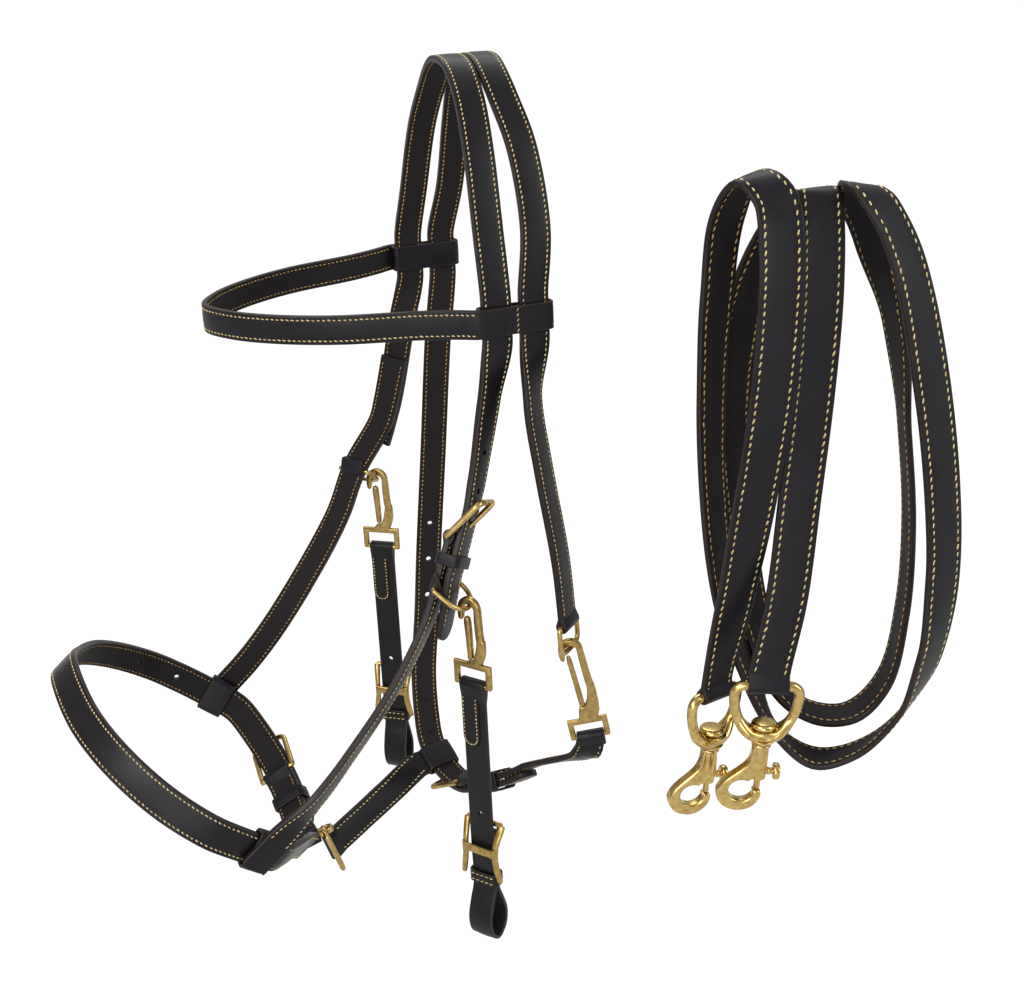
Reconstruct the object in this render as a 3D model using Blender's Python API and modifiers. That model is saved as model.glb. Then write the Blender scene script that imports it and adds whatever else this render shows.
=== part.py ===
"""Halter bridle: a leather headstall with a browband, a noseband, a throat latch that snaps shut,
two bit hangers on hooks, and a pair of reins on swivel snaps.
Lengths below are in millimetres and become metres where a mesh is made.
The origin is the middle of the underside of the crown, X points to the tail, Z up, the near side is at -Y."""

from math import asin, ceil, cos, pi, radians, sin, tan

import bmesh
import bpy
from mathutils import Matrix, Vector

MM = 0.001

# Strap widths and thicknesses
CROWN_WIDTH = 19.0
BROW_WIDTH = 18.0
NOSE_WIDTH = 22.0
JAW_WIDTH = 20.0
HANG_WIDTH = 18.0
REIN_WIDTH = 25.4
DOUBLE = 4.5
SINGLE = 3.0
REIN_THICK = 3.8
WALL = 2.2
EDGE = 0.6
CHORD = 0.22

# Clearances shared by every pair of pieces that touch
FIT = 0.3
SLIDE = 0.55
LOOP_SLIDE = 0.8
LAYER = DOUBLE + FIT

# Metal sizes
BUCKLE_WIRE = 1.6
BUCKLE_LENGTH = 30.0
BUCKLE_SIDE = 0.9
TONGUE_WIRE = 1.1
BIT_RING_WIRE = 1.6
BIT_RING_DEPTH = 23.0
RING_WIRE = 1.7
CHIN_RING_LENGTH = 31.0
CHIN_RING_SPAN = 11.0
JAW_RING_SPAN = 12.0
HOOK_GAP = 7.6
HOOK_THICK = 4.0
HOOK_ARCH = 5.0
EYE_BAR_DROP = 54.5
EYE_WIDTH = 28.0
REIN_RING_WIRE = 3.2
REIN_RING_WIDTH = 46.0
REIN_RING_HEIGHT = 41.0
BOSS_WIDTH = 24.0
BOSS_DEPTH = 14.5
LEFT_TURN = 38.0
LEFT_SWIVEL = -26.0
SNAP_BOLT = 2.0
SNAP_TRAVEL = 8.0
SNAP_NECK = 30.0
SNAP_KNOB = 13.0
HOLE = 1.9

# Where the reins hang, and how far they are turned from the X axis
REINS_AT = (147.8, -205.4, -233.3)
REINS_TURN = -18.8

for old in list(bpy.data.objects):
    bpy.data.objects.remove(old)

parts = bpy.data.collections.new("halter_bridle")
cutters = bpy.data.collections.new("cutters")
bpy.context.scene.collection.children.link(parts)
bpy.context.scene.collection.children.link(cutters)


# Materials

def material(name, colour, metallic, roughness):
    made = bpy.data.materials.new(name)
    made.use_nodes = True
    shader = made.node_tree.nodes["Principled BSDF"]
    shader.inputs["Base Color"].default_value = (*colour, 1)
    shader.inputs["Metallic"].default_value = metallic
    shader.inputs["Roughness"].default_value = roughness
    return made


LEATHER = material("black_leather", (0.012, 0.011, 0.014), 0, 0.42)
BRASS = material("polished_brass", (0.80, 0.58, 0.25), 1, 0.2)
OLD_BRASS = material("dull_brass", (0.52, 0.38, 0.17), 1, 0.38)

UP = Vector((0, 0, 1))


# Smooth paths that carry a point, a direction, an outer face and a width direction

class Path:
    def __init__(self, rows):
        self.rows = rows
        self.s = [0.0]
        for a, b in zip(rows, rows[1:]):
            self.s.append(self.s[-1] + (b[0] - a[0]).length)

    @property
    def length(self):
        return self.s[-1]

    def at(self, s):
        s = min(max(s, 0.0), self.length)
        i = next((k for k in range(1, len(self.s)) if self.s[k] >= s), len(self.s) - 1)
        f = (s - self.s[i - 1]) / max(self.s[i] - self.s[i - 1], 1e-9)
        a, b = self.rows[i - 1], self.rows[i]
        point = a[0].lerp(b[0], f)
        t = a[1].lerp(b[1], f).normalized()
        return frame(point, t, a[2].lerp(b[2], f))

    def near(self, point):
        point = Vector(point)
        closest = min(range(len(self.rows)), key=lambda i: (self.rows[i][0] - point).length)
        return self.s[closest]

    def part(self, start, end):
        inside = [self.rows[i] for i, s in enumerate(self.s) if start + 0.5 < s < end - 0.5]
        return Path([self.at(start), *inside, self.at(end)])

    def raised(self, by):
        return Path([(p + n * by, t, n, w) for p, t, n, w in self.rows])

    def thinned(self, turn=9.0, most=30.0):
        """Fewer rows: the strap stays within a hair of its path, and no row twists far from the last."""
        keep, i = [0], 0
        while i < len(self.rows) - 1:
            j = i + 1
            while j + 1 < len(self.rows) and self.straight(i, j + 1, turn, most):
                j += 1
            keep.append(j)
            i = j
        return Path([self.rows[k] for k in keep])

    def straight(self, i, j, turn, most):
        a, b = self.rows[i], self.rows[j]
        run = b[0] - a[0]
        if run.length > most or a[2].angle(b[2]) > radians(turn):
            return False
        return all((self.rows[k][0] - a[0]).cross(run).length / run.length < CHORD for k in range(i + 1, j))


def frame(point, t, face):
    t = t.normalized()
    n = (face - t * face.dot(t)).normalized()
    return (point, t, n, t.cross(n))


def smooth(stations, step=3.0):
    """A centripetal curve through (x, y, z, face) stations, with the faces eased from one to the next."""
    points = [Vector(s[:3]) for s in stations]
    faces = [Vector(s[3]).normalized() for s in stations]
    points = [points[0] * 2 - points[1], *points, points[-1] * 2 - points[-2]]
    found = []
    for i in range(1, len(points) - 2):
        p0, p1, p2, p3 = points[i - 1:i + 3]
        t1 = (p1 - p0).length ** 0.5
        t2 = t1 + (p2 - p1).length ** 0.5
        t3 = t2 + (p3 - p2).length ** 0.5
        count = max(2, ceil((p2 - p1).length / step))
        for k in range(count + (i == len(points) - 3)):
            u = k / count
            t = t1 + (t2 - t1) * u
            a1 = p0 * ((t1 - t) / t1) + p1 * (t / t1)
            a2 = p1 * ((t2 - t) / (t2 - t1)) + p2 * ((t - t1) / (t2 - t1))
            a3 = p2 * ((t3 - t) / (t3 - t2)) + p3 * ((t - t2) / (t3 - t2))
            b1 = a1 * ((t2 - t) / t2) + a2 * (t / t2)
            b2 = a2 * ((t3 - t) / (t3 - t1)) + a3 * ((t - t1) / (t3 - t1))
            place = b1 * ((t2 - t) / (t2 - t1)) + b2 * ((t - t1) / (t2 - t1))
            ease = u * u * (3 - 2 * u)
            found.append((place, faces[i - 1].lerp(faces[i], ease)))
    rows = []
    for i, (place, face) in enumerate(found):
        before = found[max(i - 1, 0)][0]
        after = found[min(i + 1, len(found) - 1)][0]
        rows.append(frame(place, after - before, face))
    return Path(rows)


def mirrored(stations):
    return [(x, -y, z, (f[0], -f[1], f[2])) for x, y, z, f in stations]


def out(angle):
    """The outer face on the near side, turned toward the tail by this many degrees."""
    return (sin(radians(angle)), -cos(radians(angle)), 0)


# Making and joining solids

def add(name, data, collection, finish):
    obj = bpy.data.objects.new(name, data)
    collection.objects.link(obj)
    if finish:
        data.materials.append(finish)
    if collection is cutters:
        obj.hide_render = True
        obj.display_type = "WIRE"
    return obj


def from_bmesh(name, bm, collection, finish=None, smooth_shade=True):
    mesh = bpy.data.meshes.new(name)
    bmesh.ops.recalc_face_normals(bm, faces=bm.faces)
    bm.to_mesh(mesh)
    bm.free()
    if smooth_shade:
        mesh.shade_smooth()
    return add(name, mesh, collection, finish)


def pose(matrix):
    """The placing matrix of a local shape, its move given in millimetres."""
    placed = matrix.copy()
    placed.translation = matrix.translation * MM
    return placed


def axes(origin, x, y, z):
    m = Matrix((x, y, z)).transposed().to_4x4()
    m.translation = origin
    return m


def strap(name, path, width, thick, tip=0, tail=0, turn=9.0, most=30.0, collection=None, finish=LEATHER):
    """A flat strap along a path, with a pointed end where tip or tail gives its length."""
    rows = [(row, 1.0) for row in path.thinned(turn, most).rows]
    if tip:
        body = [(row, 1.0) for row in path.part(0, path.length - tip).thinned(turn, most).rows]
        rows = body + [(path.at(path.length - tip * 0.35), 0.8), (path.at(path.length), 0.35)]
    if tail:
        rest = path.part(tail, path.length).thinned(turn, most).rows
        rows = [(path.at(0), 0.35), (path.at(tail * 0.65), 0.8)] + [(row, 1.0) for row in rest]
    bm = bmesh.new()
    bmesh.ops.create_grid(bm, x_segments=1, y_segments=len(rows) - 1, size=1)
    ordered = sorted(bm.verts, key=lambda v: (round(v.co.y, 5), v.co.x))
    for i, ((point, t, n, w), share) in enumerate(rows):
        ordered[2 * i].co = (point - w * width * share / 2) * MM
        ordered[2 * i + 1].co = (point + w * width * share / 2) * MM
    obj = from_bmesh(name, bm, collection or parts, finish)
    solid = obj.modifiers.new("thickness", "SOLIDIFY")
    solid.thickness = thick * MM
    solid.offset = 0
    edge = obj.modifiers.new("edge", "BEVEL")
    edge.width = EDGE * MM
    edge.segments = 1
    edge.limit_method = "ANGLE"
    edge.angle_limit = radians(60)
    return obj


def rod(name, start, end, radius, collection=None, sides=16, finish=None):
    start, end = Vector(start), Vector(end)
    bm = bmesh.new()
    turn = (end - start).to_track_quat("Z", "Y").to_matrix().to_4x4()
    turn.translation = (start + end) / 2 * MM
    bmesh.ops.create_cone(bm, cap_ends=True, segments=sides, radius1=radius * MM, radius2=radius * MM,
                          depth=(end - start).length * MM, matrix=turn)
    return from_bmesh(name, bm, collection or cutters, finish)


def box(name, matrix, size, collection=None, finish=None):
    bm = bmesh.new()
    bmesh.ops.create_cube(bm, size=1, matrix=pose(matrix) @ Matrix.Diagonal((*[s * MM for s in size], 1)))
    return from_bmesh(name, bm, collection or cutters, finish, False)


def rounded(width, height, radius, steps=2):
    """The outline of a rectangle with round corners, centred on the origin."""
    found = []
    for k, (sx, sy) in enumerate(((1, 1), (-1, 1), (-1, -1), (1, -1))):
        for j in range(steps + 1):
            a = pi / 2 * (k + j / steps)
            found.append((sx * (width / 2 - radius) + radius * cos(a), sy * (height / 2 - radius) + radius * sin(a)))
    return found


def plate(name, outlines, thick, matrix, collection=None, finish=None, soften=0.0):
    """Flat outlines, the first the outer one and the rest its holes, given a thickness along local Z."""
    curve = bpy.data.curves.new(name, "CURVE")
    curve.dimensions = "2D"
    curve.fill_mode = "BOTH"
    curve.extrude = (thick / 2 - soften) * MM
    curve.bevel_depth = soften * MM
    curve.bevel_resolution = 0
    curve.offset = -soften * MM
    for outline in outlines:
        spline = curve.splines.new("POLY")
        spline.points.add(len(outline) - 1)
        for point, (x, y) in zip(spline.points, outline):
            point.co = (x * MM, y * MM, 0, 1)
        spline.use_cyclic_u = True
    return as_mesh(add(name, curve, collection or parts, finish), matrix)


def wire(name, points, radius, cyclic=False, finish=BRASS, collection=None, resolution=2, radii=None):
    """A round wire through the points, as a bevelled curve with filled ends."""
    curve = bpy.data.curves.new(name, "CURVE")
    curve.dimensions = "3D"
    curve.bevel_depth = radius * MM
    curve.bevel_resolution = resolution
    curve.use_fill_caps = True
    spline = curve.splines.new("POLY")
    spline.points.add(len(points) - 1)
    for i, (point, place) in enumerate(zip(spline.points, points)):
        point.co = (*(Vector(place) * MM), 1)
        point.radius = radii[i] if radii else 1
    spline.use_cyclic_u = cyclic
    return as_mesh(add(name, curve, collection or parts, finish), Matrix.Identity(4))


def as_mesh(obj, matrix):
    """The curve as a mesh of its own, moved by the matrix."""
    name, collection = obj.name, obj.users_collection[0]
    bpy.context.view_layer.update()
    mesh = bpy.data.meshes.new_from_object(obj.evaluated_get(bpy.context.evaluated_depsgraph_get()))
    bpy.data.objects.remove(obj)
    bm = bmesh.new()
    bm.from_mesh(mesh)
    bmesh.ops.remove_doubles(bm, verts=bm.verts, dist=1e-6)
    bmesh.ops.transform(bm, matrix=pose(matrix), verts=bm.verts)
    bmesh.ops.recalc_face_normals(bm, faces=bm.faces)
    bm.to_mesh(mesh)
    bm.free()
    mesh.shade_smooth()
    made = bpy.data.objects.new(name, mesh)
    collection.objects.link(made)
    if collection is cutters:
        made.hide_render = True
        made.display_type = "WIRE"
    return made


def boolean(obj, other, operation):
    modifier = obj.modifiers.new(operation.lower(), "BOOLEAN")
    modifier.operation = operation
    modifier.object = other
    modifier.solver = "EXACT"


def join(obj, other):
    boolean(obj, other, "UNION")


def cut(obj, other):
    boolean(obj, other, "DIFFERENCE")


def set_origin(obj, point):
    """Moves the object's origin to the point and leaves its shape where it is."""
    point = Vector(point) * MM
    obj.data.transform(Matrix.Translation(-point))
    obj.location = point


def eye(obj, centre, axis, width, bar, wall=WALL):
    """A folded end: a round sleeve on the strap, bored for its bar with the shared clearance."""
    centre, axis = Vector(centre), Vector(axis).normalized()
    half = width / 2 - 0.35
    join(obj, rod(obj.name + "_fold", centre - axis * half, centre + axis * half, bar + FIT + wall))
    cut(obj, rod(obj.name + "_bore", centre - axis * width, centre + axis * width, bar + FIT))


def punched(obj, path, places, thick=DOUBLE):
    """Round holes through the strap at these points of its path."""
    for i, s in enumerate(places):
        p, t, n, w = path.at(s)
        cut(obj, rod(f"{obj.name}_hole{i}", p - n * thick, p + n * thick, HOLE, sides=8))


def loop_outline(width, thick, wall, slide=SLIDE):
    outer = rounded(width + 2 * slide + 2 * wall, thick + 2 * slide + 2 * wall, wall * 0.8, 2)
    inner = rounded(width + 2 * slide, thick + 2 * slide, 0.5, 1)
    return [outer, inner]


def keeper(name, row, width, thick, lift, length=9.0, wall=1.6):
    """A leather loop round the straps that pass it, its middle lifted off the row's own layer."""
    p, t, n, w = row
    return plate(name, loop_outline(width, thick, wall), length, axes(p + n * lift, w, n, -t),
                 finish=LEATHER)


# Buckles: a wire frame on a bar, and a tongue bent round the same bar

def buckle(name, bar, along, face, width, lift, wire_radius=BUCKLE_WIRE, length=BUCKLE_LENGTH, finish=BRASS):
    """Returns the frame's own directions, for the holes that the tongue needs."""
    along, face = Vector(along).normalized(), Vector(face)
    n = (face - along * face.dot(along)).normalized()
    w = along.cross(n)
    d = along * cos(radians(lift)) + n * sin(radians(lift))
    up = n * cos(radians(lift)) - along * sin(radians(lift))
    half = width / 2 + BUCKLE_SIDE + wire_radius
    r = 5.0
    bar = Vector(bar)
    points = [bar - w * half, bar + w * half]
    for side, start in ((1, 0), (-1, 90)):
        for k in range(4):
            a = radians(start + 30 * k)
            c = bar + w * side * (half - r) + d * (length - r)
            points.append(c + (w * cos(a) + d * sin(a)) * r)
    middle = [bar - w * half + d * length * 0.4, bar + w * half + d * length * 0.4]
    points = [points[0], points[1], middle[1], *points[2:], middle[0]]
    ring = wire(name, points, wire_radius, True, finish)
    set_origin(ring, bar)
    reach = wire_radius + FIT + TONGUE_WIRE
    turns = [radians(a) for a in (-60, -110, -160, -210, -260, -310, -360)]
    bend = [bar + (d * sin(a) + up * cos(a)) * reach for a in reversed(turns)]
    end = bar + up * (reach + 0.1) + d * (length + wire_radius + 1.5)
    start = bar + up * (reach + 0.1) + d * 2.5
    pin = wire(name + "_tongue", [end, (start + end) / 2, start, *bend], TONGUE_WIRE, False, finish)
    set_origin(pin, bar)
    return d, up, w


def tongue_slot(strap_obj, bar, d, up, w, lift_room=7.0):
    """The long slot in a billet through which the tongue passes, with room for the tongue to lift."""
    bar = Vector(bar)
    reach = BUCKLE_WIRE + FIT + TONGUE_WIRE
    a = radians(lift_room / 2)
    along = d * cos(a) + up * sin(a)
    above = up * cos(a) - d * sin(a)
    centre = bar + up * reach + along * 12
    cut(strap_obj, box(strap_obj.name + "_slot", axes(centre, w, along, above), (3.4, 30, 5.6)))


def tongue_notch(strap_obj, bar, d, up, w):
    """The notch in a folded end that lets the tongue reach the bar."""
    bar = Vector(bar)
    cut(strap_obj, box(strap_obj.name + "_notch", axes(bar + d * 1.2 + up * 0.6, w, d, up), (3.4, 15, 13)))


# Crown: two straps side by side over the poll

FRONT_X = -CROWN_WIDTH / 2 - 0.25
REAR_X = CROWN_WIDTH / 2 + 0.25
POCKET_Y = 93.5
POCKET_Z = -141.5
POCKET_FRONT = -18.0
POCKET_REAR = 6.0


def over_poll(x, low):
    """The near half of a crown strap, from the flat at the poll to below the browband."""
    return [
        (x, -5, DOUBLE / 2, UP),
        (x, -22, -1.6, (0, -0.4, 0.9)),
        (x, -41, -19, (0, -0.78, 0.62)),
        (x - 2 if x < 0 else x + 2, -62, -46, (0, -0.9, 0.43)),
        (x - 5 if x < 0 else x + 1.5, -82, -92, (0, -0.96, 0.25)),
        (low, -POCKET_Y, -127, (0, -1, 0)),
        (low, -POCKET_Y, -134, (0, -1, 0)),
        (low, -POCKET_Y, -149, (0, -1, 0)),
        (low, -POCKET_Y, -156, (0, -1, 0)),
    ]


# The near bit ring sits in a sleeve where the cheek strap bends, and the billet lies over it and through the ring.
BUCKLE_BAR = Vector((-55, -101.5, -272))
RING_BAR = Vector((-67, -108, -299))
RING_FACE = Vector((0.76, -0.65, 0))
BILLET_LIFT = BUCKLE_WIRE + FIT + WALL + FIT + DOUBLE / 2 + 0.4
near_cheek = [
    (*BUCKLE_BAR, out(50)),
    (-61, -105, -286, RING_FACE),
    (*RING_BAR, RING_FACE),
    (-79, -112.5, -323, (0.64, -0.63, -0.43)),
    (-104, -117, -361, (0.6, -0.63, -0.5)),
    (-136, -118, -401, (0.58, -0.66, -0.48)),
    (-160, -119, -427, (0.42, -0.82, -0.3)),
]
cheek_top = smooth(near_cheek)


def over_cheek(s, lift=BILLET_LIFT):
    """A billet station that lies on the cheek strap, square over it."""
    p, t, n, w = cheek_top.at(s)
    return (*(p + n * lift), tuple(n))


ring_s = cheek_top.near(RING_BAR)
ring_billet = Vector(over_cheek(ring_s)[:3])
front_near = over_poll(FRONT_X, POCKET_FRONT) + [
    (-26, -96, -190, out(31)),
    (-37, -99.5, -237, out(43)),
    (-43.5, -103, -257, out(50)),
    over_cheek(0),
    over_cheek(ring_s * 0.45),
    over_cheek(ring_s * 0.9),
    (*(ring_billet + Vector((-1.6, 0.2, -10))), RING_FACE),
    (-70, -113, -335, RING_FACE),
]
front_far = over_poll(FRONT_X, POCKET_FRONT) + [
    (-26, -96, -190, out(31)),
    (-37, -97, -239, out(43)),
    (-43, -99, -261, out(50)),
    (-48, -101, -277, out(50)),
]
front_path = smooth(list(reversed(front_near)) + mirrored(front_far))
crown_front = strap("crown_front_strap", front_path, CROWN_WIDTH, DOUBLE, tail=8)
punched(crown_front, front_path, [front_path.near(p) for p in ((-38, -100, -240), (-29, -97, -204))])

rear_near = over_poll(REAR_X, POCKET_REAR) + [
    (2, -97, -194, out(42)),
    (6, -101.5, -240, out(42)),
    (13, -107, -300, out(42)),
    (16, -108, -344, out(42)),
]
rear_far = over_poll(REAR_X, POCKET_REAR) + [
    (0, -96, -206, out(18)),
    (-7, -102, -291, out(16)),
    (-16, -101, -371, out(12)),
    (-23, -93, -418, (0.1, -1, -0.2)),
    (-33, -77, -462, (0, -0.85, -0.5)),
    (-39, -54, -487, (0, -0.6, -0.8)),
    (-41, -39, -498, (0, -0.5, -0.86)),
    (-39, -24, -506.5, (0, -0.45, -0.9)),
    (-34, -9, -512.5, (0, -0.3, -0.95)),
    (-28, 5, -514.5, (0, 0.05, -1)),
    (-19, 20, -509, (0, 0.4, -0.9)),
    (-5, 37, -499, (0, 0.55, -0.83)),
    (9, 49, -488, (0, 0.62, -0.78)),
]
rear_path = smooth(list(reversed(rear_near)) + mirrored(rear_far))
crown_rear = strap("crown_rear_strap", rear_path, CROWN_WIDTH, DOUBLE, tip=8)
punched(crown_rear, rear_path, [rear_path.near(p) for p in ((-5, 100, -272), (-8, 102, -300), (-12, 102, -330))])

# Browband: a band round the forehead with a double pocket at each end
end_out = POCKET_Y + DOUBLE / 2 + SLIDE + (DOUBLE - 0.5) / 2 + 0.06
brow_near = [
    (-16, -end_out, POCKET_Z, (0, -1, 0)),
    (-23, -end_out, POCKET_Z, (0, -1, 0)),
    (-30.5, -end_out + 0.2, POCKET_Z, (0, -1, 0)),
    (-42, -91.5, POCKET_Z, (-0.5, -1, 0)),
    (-63, -82, POCKET_Z, (-0.4, -1, 0)),
    (-109, -68, POCKET_Z, (-0.5, -1, 0)),
    (-143, -48, POCKET_Z, (-0.8, -0.8, 0)),
    (-166, -25, POCKET_Z, (-1, -0.5, 0)),
    (-177, 0, POCKET_Z, (-1, 0, 0)),
]
brow_path = smooth(brow_near + list(reversed(mirrored(brow_near)))[1:])
browband = strap("browband", brow_path, BROW_WIDTH, DOUBLE - 0.5)
for side in (-1, 1):
    front, rear = POCKET_FRONT - CROWN_WIDTH / 2, POCKET_REAR + CROWN_WIDTH / 2
    middle = (front + rear) / 2
    length = rear - front + 2 * SLIDE + 2 * WALL
    outer = rounded(length, DOUBLE + 2 * SLIDE + 2 * WALL, WALL * 0.8, 2)
    holes = []
    for x in (POCKET_FRONT, POCKET_REAR):
        hole = rounded(CROWN_WIDTH + 2 * SLIDE, DOUBLE + 2 * SLIDE, 0.5, 1)
        holes.append([(px + x - middle, py) for px, py in hole])
    spot = axes(Vector((middle, side * POCKET_Y, POCKET_Z)), Vector((1, 0, 0)), Vector((0, 1, 0)), UP)
    join(browband, plate(f"browband_pocket{side}", [outer, *holes], BROW_WIDTH - 0.8, spot, cutters))

# Noseband: one strap round the muzzle, its billet through a buckle behind the jaw
NOSE_ACROSS = Vector((0.77, 0, 0.64))
CHIN = Vector((-149, -11, -525))
CHIN_ACROSS = Vector((0.95, 0, 0.3)).normalized()
CHIN_ALONG = (Vector((0, 0.95, -0.3)) - CHIN_ACROSS * CHIN_ACROSS.dot(Vector((0, 0.95, -0.3)))).normalized()
CHIN_SHIFT = -3.0
chin_near = CHIN - CHIN_ALONG * CHIN_RING_SPAN / 2 + CHIN_ACROSS * CHIN_SHIFT
chin_far = CHIN + CHIN_ALONG * CHIN_RING_SPAN / 2 + CHIN_ACROSS * CHIN_SHIFT


def nose(points, across=NOSE_ACROSS):
    """Stations whose face is square to the run of the strap and to the width direction."""
    places = [Vector(p) for p in points]
    found = []
    for i, place in enumerate(places):
        t = places[min(i + 1, len(places) - 1)] - places[max(i - 1, 0)]
        found.append((*place, tuple(across.cross(t).normalized())))
    return found


nose_points = [
    tuple(chin_near - CHIN_ALONG * 1.0),
    (-155, -32, -516), (-164, -62, -495), (-175, -95, -476), (-186.5, -115, -464.5), (-191, -116.5, -460.5),
    (-207.5, -118.7, -448), (-212, -119.2, -444.5),
    (-228, -118, -432.5), (-252, -105, -413), (-274, -80, -392.5), (-289, -44, -377), (-295, 0, -364),
    (-289, 44, -377), (-274, 80, -392.5), (-252, 106, -413), (-228, 118.5, -433), (-207, 118, -449),
    (-196, 116, -457.5), (-178, 109.5, -470.5), (-172, 105, -476), (-165, 92, -486), (-157, 76, -501),
    (-152, 62, -513), (-148.5, 44, -526), (-147.5, 28, -533), (-147.5, 14, -535),
]
nose_stations = nose(nose_points)
nose_stations[0] = (*nose_stations[0][:3], tuple(CHIN_ACROSS.cross(CHIN_ALONG) * -1))
nose_path = smooth(nose_stations)
noseband = strap("noseband", nose_path, NOSE_WIDTH, DOUBLE, tip=8)
punched(noseband, nose_path, [nose_path.near(p) for p in ((-190, 116, -461), (-240, 113, -423), (-214, 119, -443))])

nose_bar_s = nose_path.near((-152, 62, -513))
bar_row = nose_path.at(nose_bar_s)
NOSE_BAR = bar_row[0] - bar_row[2] * BILLET_LIFT
chape_rows = [(*NOSE_BAR, tuple(bar_row[2]))]
for ahead in (11, 20, 30, nose_path.length - nose_bar_s):
    p, t, n, w = nose_path.at(nose_bar_s + ahead)
    chape_rows.append((*(p - n * (LAYER + 0.6)), tuple(n)))
chape_rows.append((*(chin_far + CHIN_ALONG * 1.0), tuple(CHIN_ACROSS.cross(CHIN_ALONG) * -1)))
chape_path = smooth(chape_rows)
chape = strap("noseband_chape", chape_path, NOSE_WIDTH, DOUBLE)

# Cheek straps: from the crown to the noseband, each with a sleeve for its bit ring
def onto_noseband(s):
    """The two last stations of a cheek strap that lies across the noseband, and the row it lies on."""
    p, t, n, w = nose_path.at(s)
    across = NOSE_ACROSS if w.dot(NOSE_ACROSS) > 0 else NOSE_ACROSS
    off = DOUBLE / 2 + LOOP_SLIDE + DOUBLE / 2 + 0.05
    return (p + n * off, n, across, t)


def cheek(name, stations, s):
    p, n, across, along = onto_noseband(s)
    reach = NOSE_WIDTH / 2 + LOOP_SLIDE
    stations = stations + [
        (*(p + across * (reach + 2)), tuple(n)),
        (*(p - across * (reach - 2)), tuple(n)),
    ]
    path = smooth(stations)
    made = strap(name, path, CROWN_WIDTH, DOUBLE)
    row = nose_path.at(s)
    outline = loop_outline(NOSE_WIDTH, DOUBLE, WALL, LOOP_SLIDE)
    block = plate(name + "_loop", outline, CROWN_WIDTH - 1.0, axes(row[0], row[3], row[2], -row[1]), cutters)
    join(made, block)
    return made, path


near_s = nose_path.near((-199, -117.6, -454.3))
far_s = nose_path.near((-187, 112.8, -464))
cheek_near, cheek_near_path = cheek("cheek_strap_near", near_cheek, near_s)
LAP = LAYER + 0.5
lap_rows = front_path.part(front_path.near((-31, 96, -214)), front_path.length)
far_rows = []
for s in [lap_rows.length * k / 4 for k in range(4)]:
    p, t, n, w = lap_rows.at(s)
    far_rows.append((*(p - n * LAP), tuple(n)))
far_bar = Vector((RING_BAR.x, -RING_BAR.y, RING_BAR.z))
far_face = Vector((RING_FACE.x, -RING_FACE.y, 0))
cheek_far, cheek_far_path = cheek("cheek_strap_far", far_rows + [
    (*far_bar, far_face),
    (-81, 109, -331, (0.62, 0.65, -0.4)),
    (-102, 111, -366, (0.5, 0.75, -0.4)),
    (-136, 114, -414, (0.3, 0.9, -0.25)),
    (-159, 116.5, -441, (0.2, 0.95, -0.15)),
], far_s)

# Cheek buckle
d, up, w = buckle("cheek_buckle", BUCKLE_BAR, (0.37, 0.14, 0.92), out(50), CROWN_WIDTH, 31)
eye(cheek_near, BUCKLE_BAR, w, CROWN_WIDTH, BUCKLE_WIRE)
tongue_notch(cheek_near, BUCKLE_BAR, d, up, w)
tongue_slot(crown_front, BUCKLE_BAR, d, up, w)

# Noseband buckle
d, up, w = buckle("noseband_buckle", NOSE_BAR, -bar_row[1], bar_row[2], NOSE_WIDTH, 22, finish=BRASS)
eye(chape, NOSE_BAR, w, NOSE_WIDTH, BUCKLE_WIRE)
tongue_notch(chape, NOSE_BAR, d, up, w)
tongue_slot(noseband, NOSE_BAR, d, up, w)

# Chin ring and jaw ring
def oval(centre, across, along, length, span, corner, steps=3, far_corner=None):
    """A ring of wire: straight sides of this length, this far apart."""
    found = []
    for k, (sx, sy) in enumerate(((1, 1), (-1, 1), (-1, -1), (1, -1))):
        r = far_corner if far_corner and sy > 0 else corner
        for j in range(steps + 1):
            a = pi / 2 * (k + j / steps)
            x = sx * (length / 2 - r) + r * cos(a)
            y = sy * (span / 2 - r) + r * sin(a)
            found.append(centre + across * x + along * y)
    return found


chin_ring = wire("chin_ring", oval(CHIN, CHIN_ACROSS, CHIN_ALONG, CHIN_RING_LENGTH + 2 * RING_WIRE,
                                   CHIN_RING_SPAN, 3.0), RING_WIRE, True)
eye(noseband, chin_near, CHIN_ACROSS, NOSE_WIDTH, RING_WIRE)
eye(chape, chin_far, CHIN_ACROSS, NOSE_WIDTH, RING_WIRE)
set_origin(chin_ring, chin_near)

JAW_DOWN = Vector((0.3, -0.2, -0.93))
JAW_DOWN = (JAW_DOWN - CHIN_ACROSS * JAW_DOWN.dot(CHIN_ACROSS)).normalized()
JAW_SIDE = CHIN_ACROSS.cross(JAW_DOWN).normalized()
JAW_SIDE = JAW_SIDE if JAW_SIDE.y > 0 else -JAW_SIDE
link = CHIN + CHIN_ACROSS * 12.2 - CHIN_ALONG * CHIN_RING_SPAN / 2
jaw_corner = JAW_RING_SPAN / 2 - 0.01
jaw_length = JAW_WIDTH + 1.5 + 2 * jaw_corner
jaw_centre = link + JAW_DOWN * (jaw_length / 2 - RING_WIRE * 2 - FIT)
jaw_ring = wire("jaw_ring", oval(jaw_centre, JAW_DOWN, JAW_SIDE, jaw_length, JAW_RING_SPAN, jaw_corner),
                RING_WIRE, True)
set_origin(jaw_ring, link)
JAW_BAR = jaw_centre + JAW_SIDE * JAW_RING_SPAN / 2

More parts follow.
